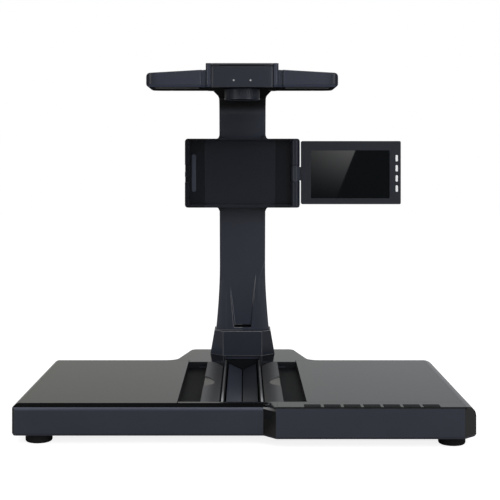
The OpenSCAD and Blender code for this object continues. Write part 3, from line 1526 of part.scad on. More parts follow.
module lamp_boards() color([0.85, 0.85, 0.8]) at_column() both_sides()
  translate([lamp_x, lamp_y, split_z]) {
    block(-lamp_w / 2 + 1, -lamp_d / 2 + 1, 0, lamp_w / 2 - 1, lamp_d / 2 - 1, pcb_t);
    // Light sources, which face down
    for (x = [-1, 0, 1], y = [-1, 1]) translate([x * lamp_w / 3, y * lamp_d / 5, -1])
      block(-2, -2, 0, 2, 2, 1 + tiny);
  }
module lamp_diffusers() color([0.9, 0.9, 0.92]) at_column() both_sides()
  translate([lamp_x, lamp_y, head_z]) block(
    -lamp_w / 2 + seam, -lamp_d / 2 + seam, 0, lamp_w / 2 - seam, lamp_d / 2 - seam, lamp_t
  );

tube_dia = ring_dia - 2 * ring_wall - 2 * ring_fit - 2 * rib_depth;
module camera_board() color(board_col) at_column() translate([0, lens_y, tube_top])
  block(-camera_w / 2, -camera_w / 2, 0, camera_w / 2, camera_w / 2, pcb_t);
tube_top = split_z + barrel_in;
module lens_barrel() color(matte_col) at_column() translate([0, lens_y, 0]) difference() {
  union() {
    translate([0, 0, head_z - ring_h + 1]) rod(tube_dia, tube_top - head_z + ring_h - 1);
    translate([0, 0, split_z]) rod(tube_dia + 2 * barrel_flange, tube_top - split_z);
  }
  translate([0, 0, head_z - ring_h])
    rod(tube_dia - 2 * tube_wall, tube_top - head_z + ring_h - barrel_top);
  translate([0, 0, tube_top - barrel_top - 1]) rod(aperture, barrel_top + 2);
}
// Lens in its cell at the lower end of the barrel
module lens_glass() color([0.05, 0.07, 0.12]) at_column() translate([0, lens_y, head_z - ring_h + 3])
  rotate_extrude() polygon(concat(
    [[0, lens_t]],
    [for (k = [0 : 8]) let (r = tube_dia / 2 - tube_wall) [
      r * sin(k * 11.25), -lens_t / 4 * cos(k * 11.25)
    ]],
    [[tube_dia / 2 - tube_wall, lens_t]]
  ));

rib_root = ring_dia / 2 - 0.3 - rib_depth;
// Ribbed ring that turns on the barrel, with a plain lip at its lower end
module focus_ring() color(shell_col) at_column() translate([0, lens_y, head_z - ring_h])
  difference() {
    union() {
      rod(ring_dia, lip_h);
      translate([0, 0, lip_h / 2]) linear_extrude(ring_h - ring_gap - lip_h / 2)
        polygon([for (k = [0 : ring_ribs - 1]) each [
          turned([rib_root, 0], (k - 0.3) * 360 / ring_ribs),
          turned([rib_root + rib_depth, 0], (k - 0.18) * 360 / ring_ribs),
          turned([rib_root + rib_depth, 0], (k + 0.18) * 360 / ring_ribs),
          turned([rib_root, 0], (k + 0.3) * 360 / ring_ribs)
        ]]);
    }
    translate([0, 0, -1]) rod(tube_dia + 2 * ring_fit, ring_h + 2);
  }

module head_bracket() color(steel_col) at_column() {
  block(
    -bracket_w / 2, lens_y + camera_w / 2 + bracket_gap, split_z, bracket_w / 2,
    column_rear_y - head_wall - arm_back_r, split_z + bracket_t
  );
}

module head_screws() color(steel_col) at_column() for (p = head_spots)
  translate([p[0], p[1], head_z + screw_head_h])
    screw_up(head_screw_len, screw_dia, screw_head, screw_head_h);

base_top_cover();
base_bottom_cover();
left_page_board();
right_page_board();
at_column() mirror([1, 0, 0]) slide_bed();  // left_slide_bed
at_column() slide_bed();  // right_slide_bed
at_column() mirror([1, 0, 0]) spine_slide();  // left_spine_slide
at_column() spine_slide();  // right_spine_slide
at_column() trough_well();
at_column() trough_floor();
control_strip();
front_key(1);  // key_1
front_key(2);  // key_2
front_key(3);  // key_3
front_key(4);  // key_4
front_key(5);  // key_5
front_key(6);  // key_6
front_key(7);  // key_7
key_board();
rubber_feet();
base_screws();
ballast_plate();
main_board();
usb_sockets();
power_jack();
column_collar();
column_front_shell();
column_rear_shell();
steel_mast();
mast_bolts();
wiring_loom();
box_rear_shell();
box_front_cover();
rest_pad();
hinge_pin();
hinge_knuckle();
tilt_shaft();
display_bezel();
display_back_cover();
display_glass();
lcd_panel();
display_board();
display_key(1);  // display_key_1
display_key(2);  // display_key_2
display_key(3);  // display_key_3
display_key(4);  // display_key_4
head_upper_cover();
head_lower_cover();
head_front_panel();
head_indicators();
lamp_boards();
lamp_diffusers();
camera_board();
lens_barrel();
lens_glass();
focus_ring();
head_bracket();
head_screws();
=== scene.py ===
import json
import math

import bpy
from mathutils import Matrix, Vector

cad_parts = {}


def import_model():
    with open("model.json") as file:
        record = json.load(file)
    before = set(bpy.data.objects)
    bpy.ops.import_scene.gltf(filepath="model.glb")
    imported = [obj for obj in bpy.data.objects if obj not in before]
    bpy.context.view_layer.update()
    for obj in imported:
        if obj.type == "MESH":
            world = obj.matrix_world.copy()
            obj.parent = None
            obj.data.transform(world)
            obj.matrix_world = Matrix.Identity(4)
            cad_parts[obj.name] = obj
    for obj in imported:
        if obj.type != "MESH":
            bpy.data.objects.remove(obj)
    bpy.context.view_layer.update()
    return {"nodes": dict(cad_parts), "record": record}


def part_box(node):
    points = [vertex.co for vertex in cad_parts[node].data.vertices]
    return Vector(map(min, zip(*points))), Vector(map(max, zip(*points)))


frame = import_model()
nodes = frame["nodes"]
MM = 0.001
COLUMN_X = (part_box("column_collar")[0].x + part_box("column_collar")[1].x) / 2
FRONT_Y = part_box("left_page_board")[0].y - 8.95 * MM


# Camera, at the photograph's place
CAMERA_BACK = 1404.3 * MM
CAMERA_SIDE = 3.1 * MM
CAMERA_HIGH = 343 * MM
LENS_MM = 82.8
SENSOR_MM = 36
SHIFT = (0.011, -0.171)


def make_camera():
    """Level camera that looks straight back, with the frame shifted down."""
    data = bpy.data.cameras.new("camera")
    data.lens = LENS_MM
    data.sensor_width = SENSOR_MM
    data.shift_x, data.shift_y = SHIFT
    data.clip_start, data.clip_end = 0.05, 50
    camera = bpy.data.objects.new("camera", data)
    camera.location = (COLUMN_X + CAMERA_SIDE, FRONT_Y - CAMERA_BACK, CAMERA_HIGH)
    camera.rotation_euler = (math.radians(90), 0, 0)
    bpy.context.scene.collection.objects.link(camera)
    bpy.context.scene.camera = camera


# Node helpers for materials. A span is a pair of values between which something changes.
NOISE_SPAN = (0.3, 0.7)


def new_material(name):
    """Material, its node tree and its shader."""
    material = bpy.data.materials.new(name)
    material.use_nodes = True
    tree = material.node_tree
    return material, tree, tree.nodes["Principled BSDF"]


def noise(tree, scale, detail):
    """Noise over the part, whose values lie mostly in NOISE_SPAN."""
    where = tree.nodes.new("ShaderNodeTexCoord")
    tex = tree.nodes.new("ShaderNodeTexNoise")
    tex.inputs["Scale"].default_value = scale
    tex.inputs["Detail"].default_value = detail
    tex.inputs["Roughness"].default_value = 0.55
    tree.links.new(where.outputs["Object"], tex.inputs["Vector"])
    return tex.outputs["Fac"]


def map_range(tree, source, span, low, high):
    """Node that maps a value from the span to the range low to high."""
    node = tree.nodes.new("ShaderNodeMapRange")
    for socket, value in zip(("From Min", "From Max", "To Min", "To Max"), (*span, low, high)):
        node.inputs[socket].default_value = value
    tree.links.new(source, node.inputs["Value"])
    return node


def spread(tree, source, low, high):
    """Maps a noise to the range low to high."""
    return map_range(tree, source, NOISE_SPAN, low, high).outputs["Result"]


def rise(tree, source, span, low=0.0, high=1.0):
    """Smooth step over the span, from low to high."""
    node = map_range(tree, source, span, low, high)
    node.interpolation_type = "SMOOTHSTEP"
    return node.outputs["Result"]


def fall(tree, source, span):
    """Smooth step over the span, from 1 down to 0."""
    return rise(tree, source, span, 1.0, 0.0)


def tint(tree, source, dark, light):
    """Maps a noise to the colours from dark to light."""
    ramp = tree.nodes.new("ShaderNodeValToRGB")
    for element, at, color in zip(ramp.color_ramp.elements, NOISE_SPAN, (dark, light)):
        element.position = at
        element.color = (*color, 1)
    tree.links.new(source, ramp.inputs["Fac"])
    return ramp.outputs["Color"]


def rounded(tree, radius):
    """Shading normal that is rounded off beside sharp edges, radius in millimetres."""
    node = tree.nodes.new("ShaderNodeBevel")
    node.samples = 8
    node.inputs["Radius"].default_value = radius * MM
    return node.outputs["Normal"]


def bump(tree, shader, height, distance, edge=0.3):
    """Grain of the given depth on a surface with softened edges, both in millimetres."""
    node = tree.nodes.new("ShaderNodeBump")
    node.inputs["Distance"].default_value = distance * MM
    tree.links.new(rounded(tree, edge), node.inputs["Normal"])
    tree.links.new(height, node.inputs["Height"])
    tree.links.new(node.outputs["Normal"], shader.inputs["Normal"])


def math_node(tree, operation, first, second=None):
    """Result of an operation on one or two values or sockets."""
    node = tree.nodes.new("ShaderNodeMath")
    node.operation = operation
    for socket, value in zip(node.inputs, (first, second)):
        if isinstance(value, (int, float)):
            socket.default_value = value
        elif value is not None:
            tree.links.new(value, socket)
    return node.outputs["Value"]


def all_of(tree, first, *others):
    """Product of masks, which is 1 only where each of them is."""
    for other in others:
        first = math_node(tree, "MULTIPLY", first, other)
    return first


def blend(tree, fac, low, high):
    """Mixes two values or two colours."""
    node = tree.nodes.new("ShaderNodeMix")
    node.data_type = "RGBA" if isinstance(high, tuple) else "FLOAT"
    factor, first, second = [i for i in node.inputs if i.enabled]
    tree.links.new(fac, factor)
    for socket, value in ((first, low), (second, high)):
        if isinstance(value, tuple):
            socket.default_value = (*value, 1)
        elif isinstance(value, (int, float)):
            socket.default_value = value
        else:
            tree.links.new(value, socket)
    return [o for o in node.outputs if o.enabled][0]


def along(tree, vector, axis):
    """One axis, X, Y or Z, of a vector."""
    split = tree.nodes.new("ShaderNodeSeparateXYZ")
    tree.links.new(vector, split.inputs["Vector"])
    return split.outputs[axis]


def facing(tree, axis):
    """The true normal along one axis."""
    geometry = tree.nodes.new("ShaderNodeNewGeometry")
    return along(tree, geometry.outputs["True Normal"], axis)


def place(tree, axis):
    """The place on the part along one axis, in millimetres."""
    where = tree.nodes.new("ShaderNodeTexCoord")
    return math_node(tree, "MULTIPLY", along(tree, where.outputs["Object"], axis), 1 / MM)


def from_axis(tree):
    """Distance from the column's middle plane, in millimetres."""
    return math_node(tree, "ABSOLUTE", math_node(tree, "SUBTRACT", place(tree, "X"), CENTRE_X))


# Finishes: plain ones, and then mouldings whose finish and painted light and shade change from
# place to place
def plastic(name, color, rough, ior=1.45, edge=0.5, grain=900, depth=0.02, vary=0.05):
    """Moulded plastic: a fine spark-eroded grain, faint mottling and an uneven sheen."""
    material, tree, shader = new_material(name)
    fine = noise(tree, grain, detail=2)
    broad = noise(tree, scale=18, detail=4)
    dark = [c * (1 - vary) for c in color]
    light = [c * (1 + vary) for c in color]
    tree.links.new(tint(tree, broad, dark, light), shader.inputs["Base Color"])
    tree.links.new(spread(tree, fine, rough * 0.9, rough * 1.1), shader.inputs["Roughness"])
    shader.inputs["IOR"].default_value = ior
    bump(tree, shader, fine, depth, edge)
    return material


def gloss(name):
    """Black high gloss."""
    return plastic(name, GLOSS_COLOR, GLOSS_ROUGH, edge=0.4, grain=600, depth=0.003)


def shell_tone(level):
    """The shell's blue-grey by a factor, which stands partly for painted light and shade."""
    return tuple(c * level for c in SHELL_COLOR)


def shell(name, level=1.0, edge=0.6):
    """Blue-grey moulding whose edges are softened by the given radius in millimetres."""
    return plastic(name, shell_tone(level), rough=0.32, edge=edge)


def mottled(name, scale, detail, dark, light):
    """Material whose colour follows a noise, with its tree, its shader and the noise."""
    material, tree, shader = new_material(name)
    grain = noise(tree, scale, detail)
    tree.links.new(tint(tree, grain, dark, light), shader.inputs["Base Color"])
    return material, tree, shader, grain


def steel():
    """Brushed metal."""
    dark, light = (0.42, 0.42, 0.43), (0.6, 0.6, 0.61)
    material, tree, shader, streaks = mottled("steel", 240, 3, dark, light)
    shader.inputs["Metallic"].default_value = 1
    tree.links.new(spread(tree, streaks, 0.28, 0.42), shader.inputs["Roughness"])
    bump(tree, shader, streaks, distance=0.01)
    return material


def circuit():
    """Green lacquer of a circuit board."""
    dark, light = (0.01, 0.07, 0.03), (0.03, 0.13, 0.06)
    material, tree, shader, grain = mottled("circuit", 400, 2, dark, light)
    shader.inputs["Roughness"].default_value = 0.4
    bump(tree, shader, grain, distance=0.03)
    return material


def rubber():
    """Dull black rubber with wide soft edges."""
    dark, light = (0.006, 0.006, 0.006), (0.011, 0.011, 0.012)
    material, tree, shader, grain = mottled("rubber", 1400, 3, dark, light)
    shader.inputs["Roughness"].default_value = 0.75
    shader.inputs["IOR"].default_value = 1.3
    bump(tree, shader, grain, distance=0.05, edge=1.0)
    return material


def dark_glass(name, color, rough):
    """Glass over black, faintly smeared."""
    material, tree, shader = new_material(name)
    smear = noise(tree, scale=14, detail=4)
    shader.inputs["Base Color"].default_value = (*color, 1)
    tree.links.new(spread(tree, smear, rough * 0.7, rough * 1.4), shader.inputs["Roughness"])
    shader.inputs["IOR"].default_value = 1.5
    return material


def milky(name, color, rough=0.35):
    """Milky plastic that light enters a little."""
    material, tree, shader, grain = mottled(name, 700, 2, [c * 0.94 for c in color], color)
    shader.inputs["Roughness"].default_value = rough
    shader.inputs["IOR"].default_value = 1.3
    shader.inputs["Subsurface Weight"].default_value = 0.15
    shader.inputs["Subsurface Radius"].default_value = (0.002, 0.002, 0.002)
    bump(tree, shader, grain, distance=0.01)
    return material


def overlay(material, mask, color, rough=None):
    """Second finish on the same moulding where the mask is 1; it also paints light and shade.
    """
    tree = material.node_tree
    shader = tree.nodes["Principled BSDF"]
    for socket, value in (("Base Color", color), ("Roughness", rough)):
        if value is not None:
            below = shader.inputs[socket].links[0].from_socket
            tree.links.new(blend(tree, mask, below, value), shader.inputs[socket])


def painted_edge_highlight(material, radius, color, sharp=0.96, where=None):
    """Painted highlight along edges, where the rounded normal leaves the true one."""
    tree = material.node_tree
    geometry = tree.nodes.new("ShaderNodeNewGeometry")
    dot = tree.nodes.new("ShaderNodeVectorMath")
    dot.operation = "DOT_PRODUCT"
    tree.links.new(geometry.outputs["True Normal"], dot.inputs[0])
    tree.links.new(rounded(tree, radius), dot.inputs[1])
    mask = fall(tree, dot.outputs["Value"], (sharp - 0.04, sharp + 0.02))
    if where is not None:
        mask = all_of(tree, mask, where)
    overlay(material, mask, color)
    return material


def seam_shadow_line(material):
    """Matt black line painted along the front edge of the control strip, as the seam's shadow.
    """
    tree = material.node_tree
    y, z = (place(tree, axis) for axis in "YZ")
    line = all_of(tree, rise(tree, z, SEAM_SHADOW_Z), fall(tree, y, SEAM_SHADOW_Y))
    overlay(material, line, SEAM_SHADOW_COLOR, rough=0.7)
    return material


def base_shell():
    """Base moulding with painted highlights along its front lip and high on its front right
    step.

    Its top is black gloss. Its slanted corners get the same black gloss, partly as painted
    shade. A matt black line is painted along its front edge as the shadow of a seam, and its
    recess at the trough is matt black.
    """
    material = shell("base_shell", edge=0.7)
    tree = material.node_tree
    nx, ny, nz = (facing(tree, axis) for axis in "XYZ")
    x, y, z = (place(tree, axis) for axis in "XYZ")
    up = rise(tree, nz, (0.72, 0.82))
    aside = rise(tree, math_node(tree, "ABSOLUTE", nx), (0.4, 0.5))
    corner = all_of(tree, aside, fall(tree, ny, (-0.3, -0.2)))
    # Painted highlight along the front lip
    lip = all_of(tree, rise(tree, nz, (0.12, 0.2)), fall(tree, ny, (-0.6, -0.5)))
    overlay(material, lip, shell_tone(1.9))
    # The top is black gloss; the slanted corners take it partly as painted shade
    overlay(material, math_node(tree, "MAXIMUM", up, corner), GLOSS_COLOR, GLOSS_ROUGH)
    # Painted shadow of the seam along the front edge
    seam_shadow_line(material)
    # Painted highlight high on the step's slanted corner
    step_highlight = all_of(
        tree, rise(tree, z, STEP_HIGHLIGHT_BOTTOM), fall(tree, z, STEP_HIGHLIGHT_TOP), fall(tree, x, STEP_HIGHLIGHT_END)
    )
    left_face = all_of(tree, fall(tree, nx, (-0.5, -0.4)), rise(tree, x, STEP_HIGHLIGHT_START))
    overlay(material, all_of(tree, step_highlight, left_face), STEP_HIGHLIGHT_COLOR)
    inside = all_of(tree, fall(tree, from_axis(tree), RECESS_SIDE), fall(tree, z, RECESS_TOP))
    behind = all_of(tree, rise(tree, y, RECESS_FRONT), fall(tree, y, RECESS_REAR))
    overlay(material, all_of(tree, inside, behind), RECESS_COLOR, rough=0.75)
    return material


def tray_shell():
    """Box front whose floor and hinge barrels are lighter than its side bands."""
    material = plastic(
        "tray_shell", shell_tone(0.28), rough=0.3, ior=1.35, edge=1.2, depth=0.004, vary=0.03
    )
    tree = material.node_tree
    x = place(tree, "X")
    tray_floor = all_of(tree, rise(tree, x, TRAY_LEFT), fall(tree, x, TRAY_RIGHT))
    overlay(material, tray_floor, shell_tone(0.58))
    overlay(material, rise(tree, x, BARREL_LEFT), shell_tone(0.75))
    return material


def slide_satin():
    """Satin slides painted lighter away from the trough, with a painted reflection in each
    scoop.
    """
    material = plastic("slide_satin", SLIDE_COLOR, rough=0.5, ior=1.35, edge=0.6)
    tree = material.node_tree
    z = place(tree, "Z")
    # Painted light, lighter away from the trough
    overlay(material, rise(tree, from_axis(tree), SLIDE_SPAN), SLIDE_PAINTED_LIGHT_COLOR)
    # Painted reflection on the flat floors of the finger scoops
    level = rise(tree, facing(tree, "Z"), (0.985, 0.995))
    depth = all_of(tree, rise(tree, z, SCOOP_BELOW), fall(tree, z, SCOOP_ABOVE))
    overlay(material, all_of(tree, depth, level), SCOOP_REFLECTION_COLOR)
    return material


def well_rim():
    """Matt black trough with painted highlights on its rims, brightest at the front."""
    material = plastic("well_rim", MATTE_COLOR, rough=0.6, ior=1.25, edge=0.5)
    tree = material.node_tree
    up = rise(tree, facing(tree, "Z"), (0.8, 0.9))
    # Painted highlight on the rims, brightest near the front
    rim = all_of(tree, up, rise(tree, from_axis(tree), RIM_SIDE))
    overlay(material, rim, RIM_HIGHLIGHT_COLOR, rough=0.35)
    near = fall(tree, place(tree, "Y"), RIM_NEAR)
    overlay(material, all_of(tree, rim, near), RIM_NEAR_HIGHLIGHT_COLOR)
    return material


def trough_shell():
    """Trough floor, whose left side catches more light than its right side."""
    material = shell("trough_shell", level=0.8, edge=0.8)
    tree = material.node_tree
    overlay(material, fall(tree, place(tree, "X"), MIDDLE), shell_tone(1.35))
    return material


def collar_shell():
    """Collar with painted edge highlights, painted light on its left flank and shade on its
    right.
    """
    material = shell("collar_shell", level=0.95, edge=1.4)
    tree = material.node_tree
    nx = facing(tree, "X")
    # Painted light on the left flank and painted shade on the right one
    overlay(material, fall(tree, nx, (-0.4, -0.3)), shell_tone(1.3))
    overlay(material, rise(tree, nx, (0.3, 0.4)), shell_tone(0.75))
    return painted_edge_highlight(material, 1.3, COLLAR_HIGHLIGHT_COLOR, sharp=0.975)


def column_shell():
    """Column front with painted highlights on its edges, low on its left and high on its right.

    It has painted shadow where it bends under the head, above a painted highlight on the bend.
    """
    material = shell("column_shell", level=1.15, edge=0.9)
    tree = material.node_tree
    z = place(tree, "Z")
    right = rise(tree, place(tree, "X"), MIDDLE)
    highlighted = blend(tree, right, fall(tree, z, LEFT_EDGE_TOP), rise(tree, z, RIGHT_EDGE_FOOT))
    painted_edge_highlight(material, 1.3, COLUMN_HIGHLIGHT_COLOR, sharp=0.975, where=highlighted)
    # Painted highlight on the lower part of the bend
    bend = all_of(tree, rise(tree, z, BEND_BOTTOM), fall(tree, z, BEND_TOP))
    overlay(material, bend, shell_tone(1.15))
    # Painted shadow under the head, in the matt black colour
    overlay(material, rise(tree, z, HEAD_SHADOW), MATTE_COLOR, rough=0.6)
    return material


def head_shell():
    """Head moulding with painted shade at its wing tips and painted edge highlights on its
    block.
    """
    material = shell("head_shell", level=1.25, edge=1.6)
    tree = material.node_tree
    side = from_axis(tree)
    # Painted shade towards the wing tips
    overlay(material, rise(tree, side, WING_TIP), shell_tone(0.6))
    # Painted highlights on the edges of the block
    return painted_edge_highlight(material, 0.7, shell_tone(1.8), where=fall(tree, side, BLOCK_SIDE))


def under_shell():
    """Underside of the head in matt black, with a rim like the moulding above it."""
    material = plastic("head_under", UNDER_COLOR, rough=0.8, ior=1.1, edge=0.8)
    tree = material.node_tree
    overlay(material, rise(tree, facing(tree, "Z"), (-0.3, -0.2)), shell_tone(1.3), rough=0.4)
    return material


def panel_shell():
    """Front panel of the head with a painted slot shadow and a painted highlight on its top
    edge.
    """
    material = shell("panel_shell", level=0.85, edge=0.8)
    tree = material.node_tree
    z = place(tree, "Z")
    # Painted shadow of the slot, in the matt black colour
    slot = all_of(tree, rise(tree, z, SLOT_BOTTOM), fall(tree, z, SLOT_TOP))
    overlay(material, slot, MATTE_COLOR, rough=0.7)
    # Painted highlight along the top edge
    overlay(material, rise(tree, z, PANEL_EDGE), PANEL_HIGHLIGHT_COLOR)
    return material


# Colours
SHELL_COLOR = (0.0225, 0.0260, 0.0385)
GLOSS_COLOR = (0.0040, 0.0042, 0.0046)
GLOSS_ROUGH = 0.14
MATTE_COLOR = (0.0045, 0.0052, 0.0064)
UNDER_COLOR = (0.0012, 0.0014, 0.0018)
# Painted shadow of the seam along the front edge
SEAM_SHADOW_COLOR = (0.002, 0.0022, 0.0026)
RECESS_COLOR = (0.0030, 0.0040, 0.0062)
# Painted highlight on the front right step
STEP_HIGHLIGHT_COLOR = (0.36, 0.36, 0.37)
SLIDE_COLOR = (0.040, 0.041, 0.045)
# Painted light on the slides' outer parts, and a painted reflection in their scoops
SLIDE_PAINTED_LIGHT_COLOR = (0.095, 0.097, 0.102)
SCOOP_REFLECTION_COLOR = (0.15, 0.15, 0.14)
# Painted highlights on the trough's rims
RIM_HIGHLIGHT_COLOR = (0.10, 0.103, 0.11)
RIM_NEAR_HIGHLIGHT_COLOR = (0.46, 0.465, 0.48)
# Painted highlights on the edges of the collar, the column and the head's panel
COLLAR_HIGHLIGHT_COLOR = (0.2, 0.205, 0.22)
COLUMN_HIGHLIGHT_COLOR = (0.22, 0.225, 0.24)
PANEL_HIGHLIGHT_COLOR = (0.10, 0.102, 0.108)
SCREEN_COLOR = (0.004, 0.005, 0.006)
LENS_COLOR = (0.003, 0.004, 0.008)
KEY_WHITE_COLOR = (0.82, 0.84, 0.86)
LAMP_COLOR = (0.06, 0.062, 0.065)
INDICATOR_COLOR = (0.45, 0.46, 0.47)

# Places on the part where a finish or painted light and shade change, in millimetres. Each pair
# is a span.
CENTRE_X = COLUMN_X / MM
MIDDLE = (CENTRE_X - 1, CENTRE_X + 1)
DECK_Z = 50
STRIP_Y = FRONT_Y / MM - 18
# The painted shadow of the seam lies along the control strip's front edge
SEAM_SHADOW_Y = (STRIP_Y + 3, STRIP_Y + 3.4)
SEAM_SHADOW_Z = (DECK_Z - 1.5, DECK_Z - 1.2)
# The painted highlight lies high on the slanted corner of the step at the front right
STEP_HIGHLIGHT_START = (CENTRE_X, CENTRE_X + 5)
STEP_HIGHLIGHT_END = (22, 44)
STEP_HIGHLIGHT_BOTTOM = (44.4, 45.2)
STEP_HIGHLIGHT_TOP = (47.6, 48.4)
# The recess around the slides is as deep as their beds, and lies below the deck
BED_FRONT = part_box("left_slide_bed")[0].y / MM - 0.2
BED_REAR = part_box("left_slide_bed")[1].y / MM + 0.2
RECESS_FRONT = (BED_FRONT - 0.4, BED_FRONT - 0.1)
RECESS_REAR = (BED_REAR, BED_REAR + 0.3)
RECESS_SIDE = (80, 80.4)
RECESS_TOP = (DECK_Z - 0.6, DECK_Z - 0.3)
# Slides, from the trough outwards, and the level of their scoops' floors
SLIDE_SPAN = (32, 50)
SCOOP_Z = DECK_Z - 2.4
SCOOP_BELOW = (SCOOP_Z - 0.08, SCOOP_Z - 0.03)
SCOOP_ABOVE = (SCOOP_Z + 0.03, SCOOP_Z + 0.08)
RIM_SIDE = (24.0, 24.3)
RIM_NEAR = (BED_FRONT, -60)
# Control box: the tray's floor, and the hinge barrels to the right of it
TRAY_LEFT = (CENTRE_X - 57.4 - 1, CENTRE_X - 57.4 + 1)
TRAY_RIGHT = (CENTRE_X + 49.7 - 1, CENTRE_X + 49.7 + 1)
BARREL_X = (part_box("hinge_pin")[0].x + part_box("hinge_pin")[1].x) / 2 / MM
BARREL_LEFT = (BARREL_X - 6.7, BARREL_X - 6.4)
# Column, from its foot up to the head
LEFT_EDGE_TOP = (138, 156)
RIGHT_EDGE_FOOT = (118, 142)
BEND_BOTTOM = (410, 416)
BEND_TOP = (420, 427)
HEAD_SHADOW = (422, 434)
# Head: the block's side, the wings' tips and the front panel
BLOCK_SIDE = (44, 46)
WING_TIP = (108, 124)
PANEL_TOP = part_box("head_front_panel")[1].z / MM
SLOT_BOTTOM = (PANEL_TOP - 4.6, PANEL_TOP - 4.3)
SLOT_TOP = (PANEL_TOP - 2.5, PANEL_TOP - 2.2)
PANEL_EDGE = (PANEL_TOP - 1.4, PANEL_TOP - 0.8)

SHELL = shell("shell")
GLOSS = gloss("board_gloss")
MATTE = plastic("matte_black", MATTE_COLOR, rough=0.6, ior=1.25)
KEYS = plastic("key_dark", MATTE_COLOR, rough=0.5, ior=1.2, edge=0.4)
STEEL = steel()
CIRCUIT = circuit()
RUBBER = rubber()
SCREEN = dark_glass("screen", SCREEN_COLOR, rough=0.015)
LENS = dark_glass("lens", LENS_COLOR, rough=0.02)
WHITE = milky("key_white", KEY_WHITE_COLOR)
LAMP = milky("lamp_white", LAMP_COLOR, rough=0.6)

FINISH = {
    "shell_plastic": SHELL, "board_gloss": GLOSS, "matte_black": MATTE, "key_dark": KEYS,
    "key_white": WHITE, "circuit_board": CIRCUIT, "foot_rubber": RUBBER, "steel": STEEL,
    "glass_dark": SCREEN, "lamp_white": LAMP,
}
# Nodes with a tone, an edge or a finish of their own; the tones are partly painted light and
# shade
OWN_FINISH = {
    "base_top_cover": base_shell(),
    "column_collar": collar_shell(),
    "column_front_shell": column_shell(),
    "column_rear_shell": shell("column_rear", edge=1.6),
    "box_front_cover": tray_shell(),
    "box_rear_shell": shell("box_shell", level=0.6, edge=1.2),
    "head_upper_cover": head_shell(),
    "head_front_panel": panel_shell(),
    "head_lower_cover": under_shell(),
    "head_indicators": milky("indicator", INDICATOR_COLOR),
    "display_bezel": shell("bezel_shell", level=0.7, edge=0.8),
    "display_back_cover": shell("display_shell", level=0.85, edge=1.0),
    "control_strip": seam_shadow_line(gloss("strip_gloss")),
    "trough_floor": trough_shell(),
    "trough_well": well_rim(),
    "lens_glass": LENS,
    "left_spine_slide": slide_satin(),
    "right_spine_slide": slide_satin(),
    "rest_pad": shell("pad_shell", level=1.8, edge=1.2),
    # The mast is black coated steel, and its matt black also stands for the shade seen through
    # the column's slot
    "steel_mast": MATTE,
}


# Meshes
SMOOTH_ANGLE = 30
WELD_GAP = 0.005 * MM


def smooth_group(angle):
    """Smooth faces that stay sharp where they meet at more than the angle in degrees."""
    group = bpy.data.node_groups.new("smooth_by_angle", "GeometryNodeTree")
    for way in ("INPUT", "OUTPUT"):
        group.interface.new_socket("Geometry", in_out=way, socket_type="NodeSocketGeometry")
    start = group.nodes.new("NodeGroupInput")
    faces = group.nodes.new("GeometryNodeSetShadeSmooth")
    faces.domain = "FACE"
    edges = group.nodes.new("GeometryNodeSetShadeSmooth")
    edges.domain = "EDGE"
    edges.inputs["Shade Smooth"].default_value = False
    turn = group.nodes.new("GeometryNodeInputMeshEdgeAngle")
    sharp = group.nodes.new("FunctionNodeCompare")
    sharp.operation = "GREATER_THAN"
    sharp.inputs["B"].default_value = math.radians(angle)
    stop = group.nodes.new("NodeGroupOutput")
    group.links.new(start.outputs["Geometry"], faces.inputs["Geometry"])
    group.links.new(faces.outputs["Geometry"], edges.inputs["Geometry"])
    group.links.new(turn.outputs["Unsigned Angle"], sharp.inputs["A"])
    group.links.new(sharp.outputs["Result"], edges.inputs["Selection"])
    group.links.new(edges.outputs["Geometry"], stop.inputs["Geometry"])
    return group


def dress_nodes():
    """Gives every CAD node its finish, and shades its curved faces smooth."""
    finish_of = {s["node"]: FINISH[s["material_slot"]] for s in frame["record"]["subparts"]}
    finish_of.update(OWN_FINISH)
    group = smooth_group(SMOOTH_ANGLE)
    for name, obj in nodes.items():
        obj.data.materials.clear()
        obj.data.materials.append(finish_of[name])
        weld = obj.modifiers.new("weld", "WELD")
        weld.merge_threshold = WELD_GAP
        obj.modifiers.new("smooth", "NODES").node_group = group


# Stage, in metres and watts
FLOOR_HALF = 6
FLOOR_GREY = 0.4
FLOOR_GLOW = 0.85
# Strength of the world for diffuse light, and of its parts in reflections, with their tint
EVEN_LIGHT = 0.5
REAR_LEFT = 0.385
REAR_RIGHT = 0.475
FRONT_CORNER = 0.45
DARK = 0.03
WARM_LEFT = (1, 1, 0.93)
COOL_RIGHT = (0.97, 1, 1.05)


def floor():
    """Pale floor that turns white to the camera where no shadow falls."""
    half = FLOOR_HALF
    corners = [(-half, -half, 0), (half, -half, 0), (half, half, 0), (-half, half, 0)]
    mesh = bpy.data.meshes.new("floor")
    mesh.from_pydata(corners, [], [(0, 1, 2, 3)])
    obj = bpy.data.objects.new("floor", mesh)
    bpy.context.scene.collection.objects.link(obj)
    material, tree, shader = new_material("floor")
    shader.inputs["Base Color"].default_value = (FLOOR_GREY, FLOOR_GREY, FLOOR_GREY, 1)
    shader.inputs["Roughness"].default_value = 1
    shader.inputs["Specular IOR Level"].default_value = 0
    path = tree.nodes.new("ShaderNodeLightPath")
    glow = math_node(tree, "MULTIPLY", path.outputs["Is Camera Ray"], FLOOR_GLOW)
    shader.inputs["Emission Color"].default_value = (1, 1, 1, 1)
    tree.links.new(glow, shader.inputs["Emission Strength"])
    mesh.materials.append(material)


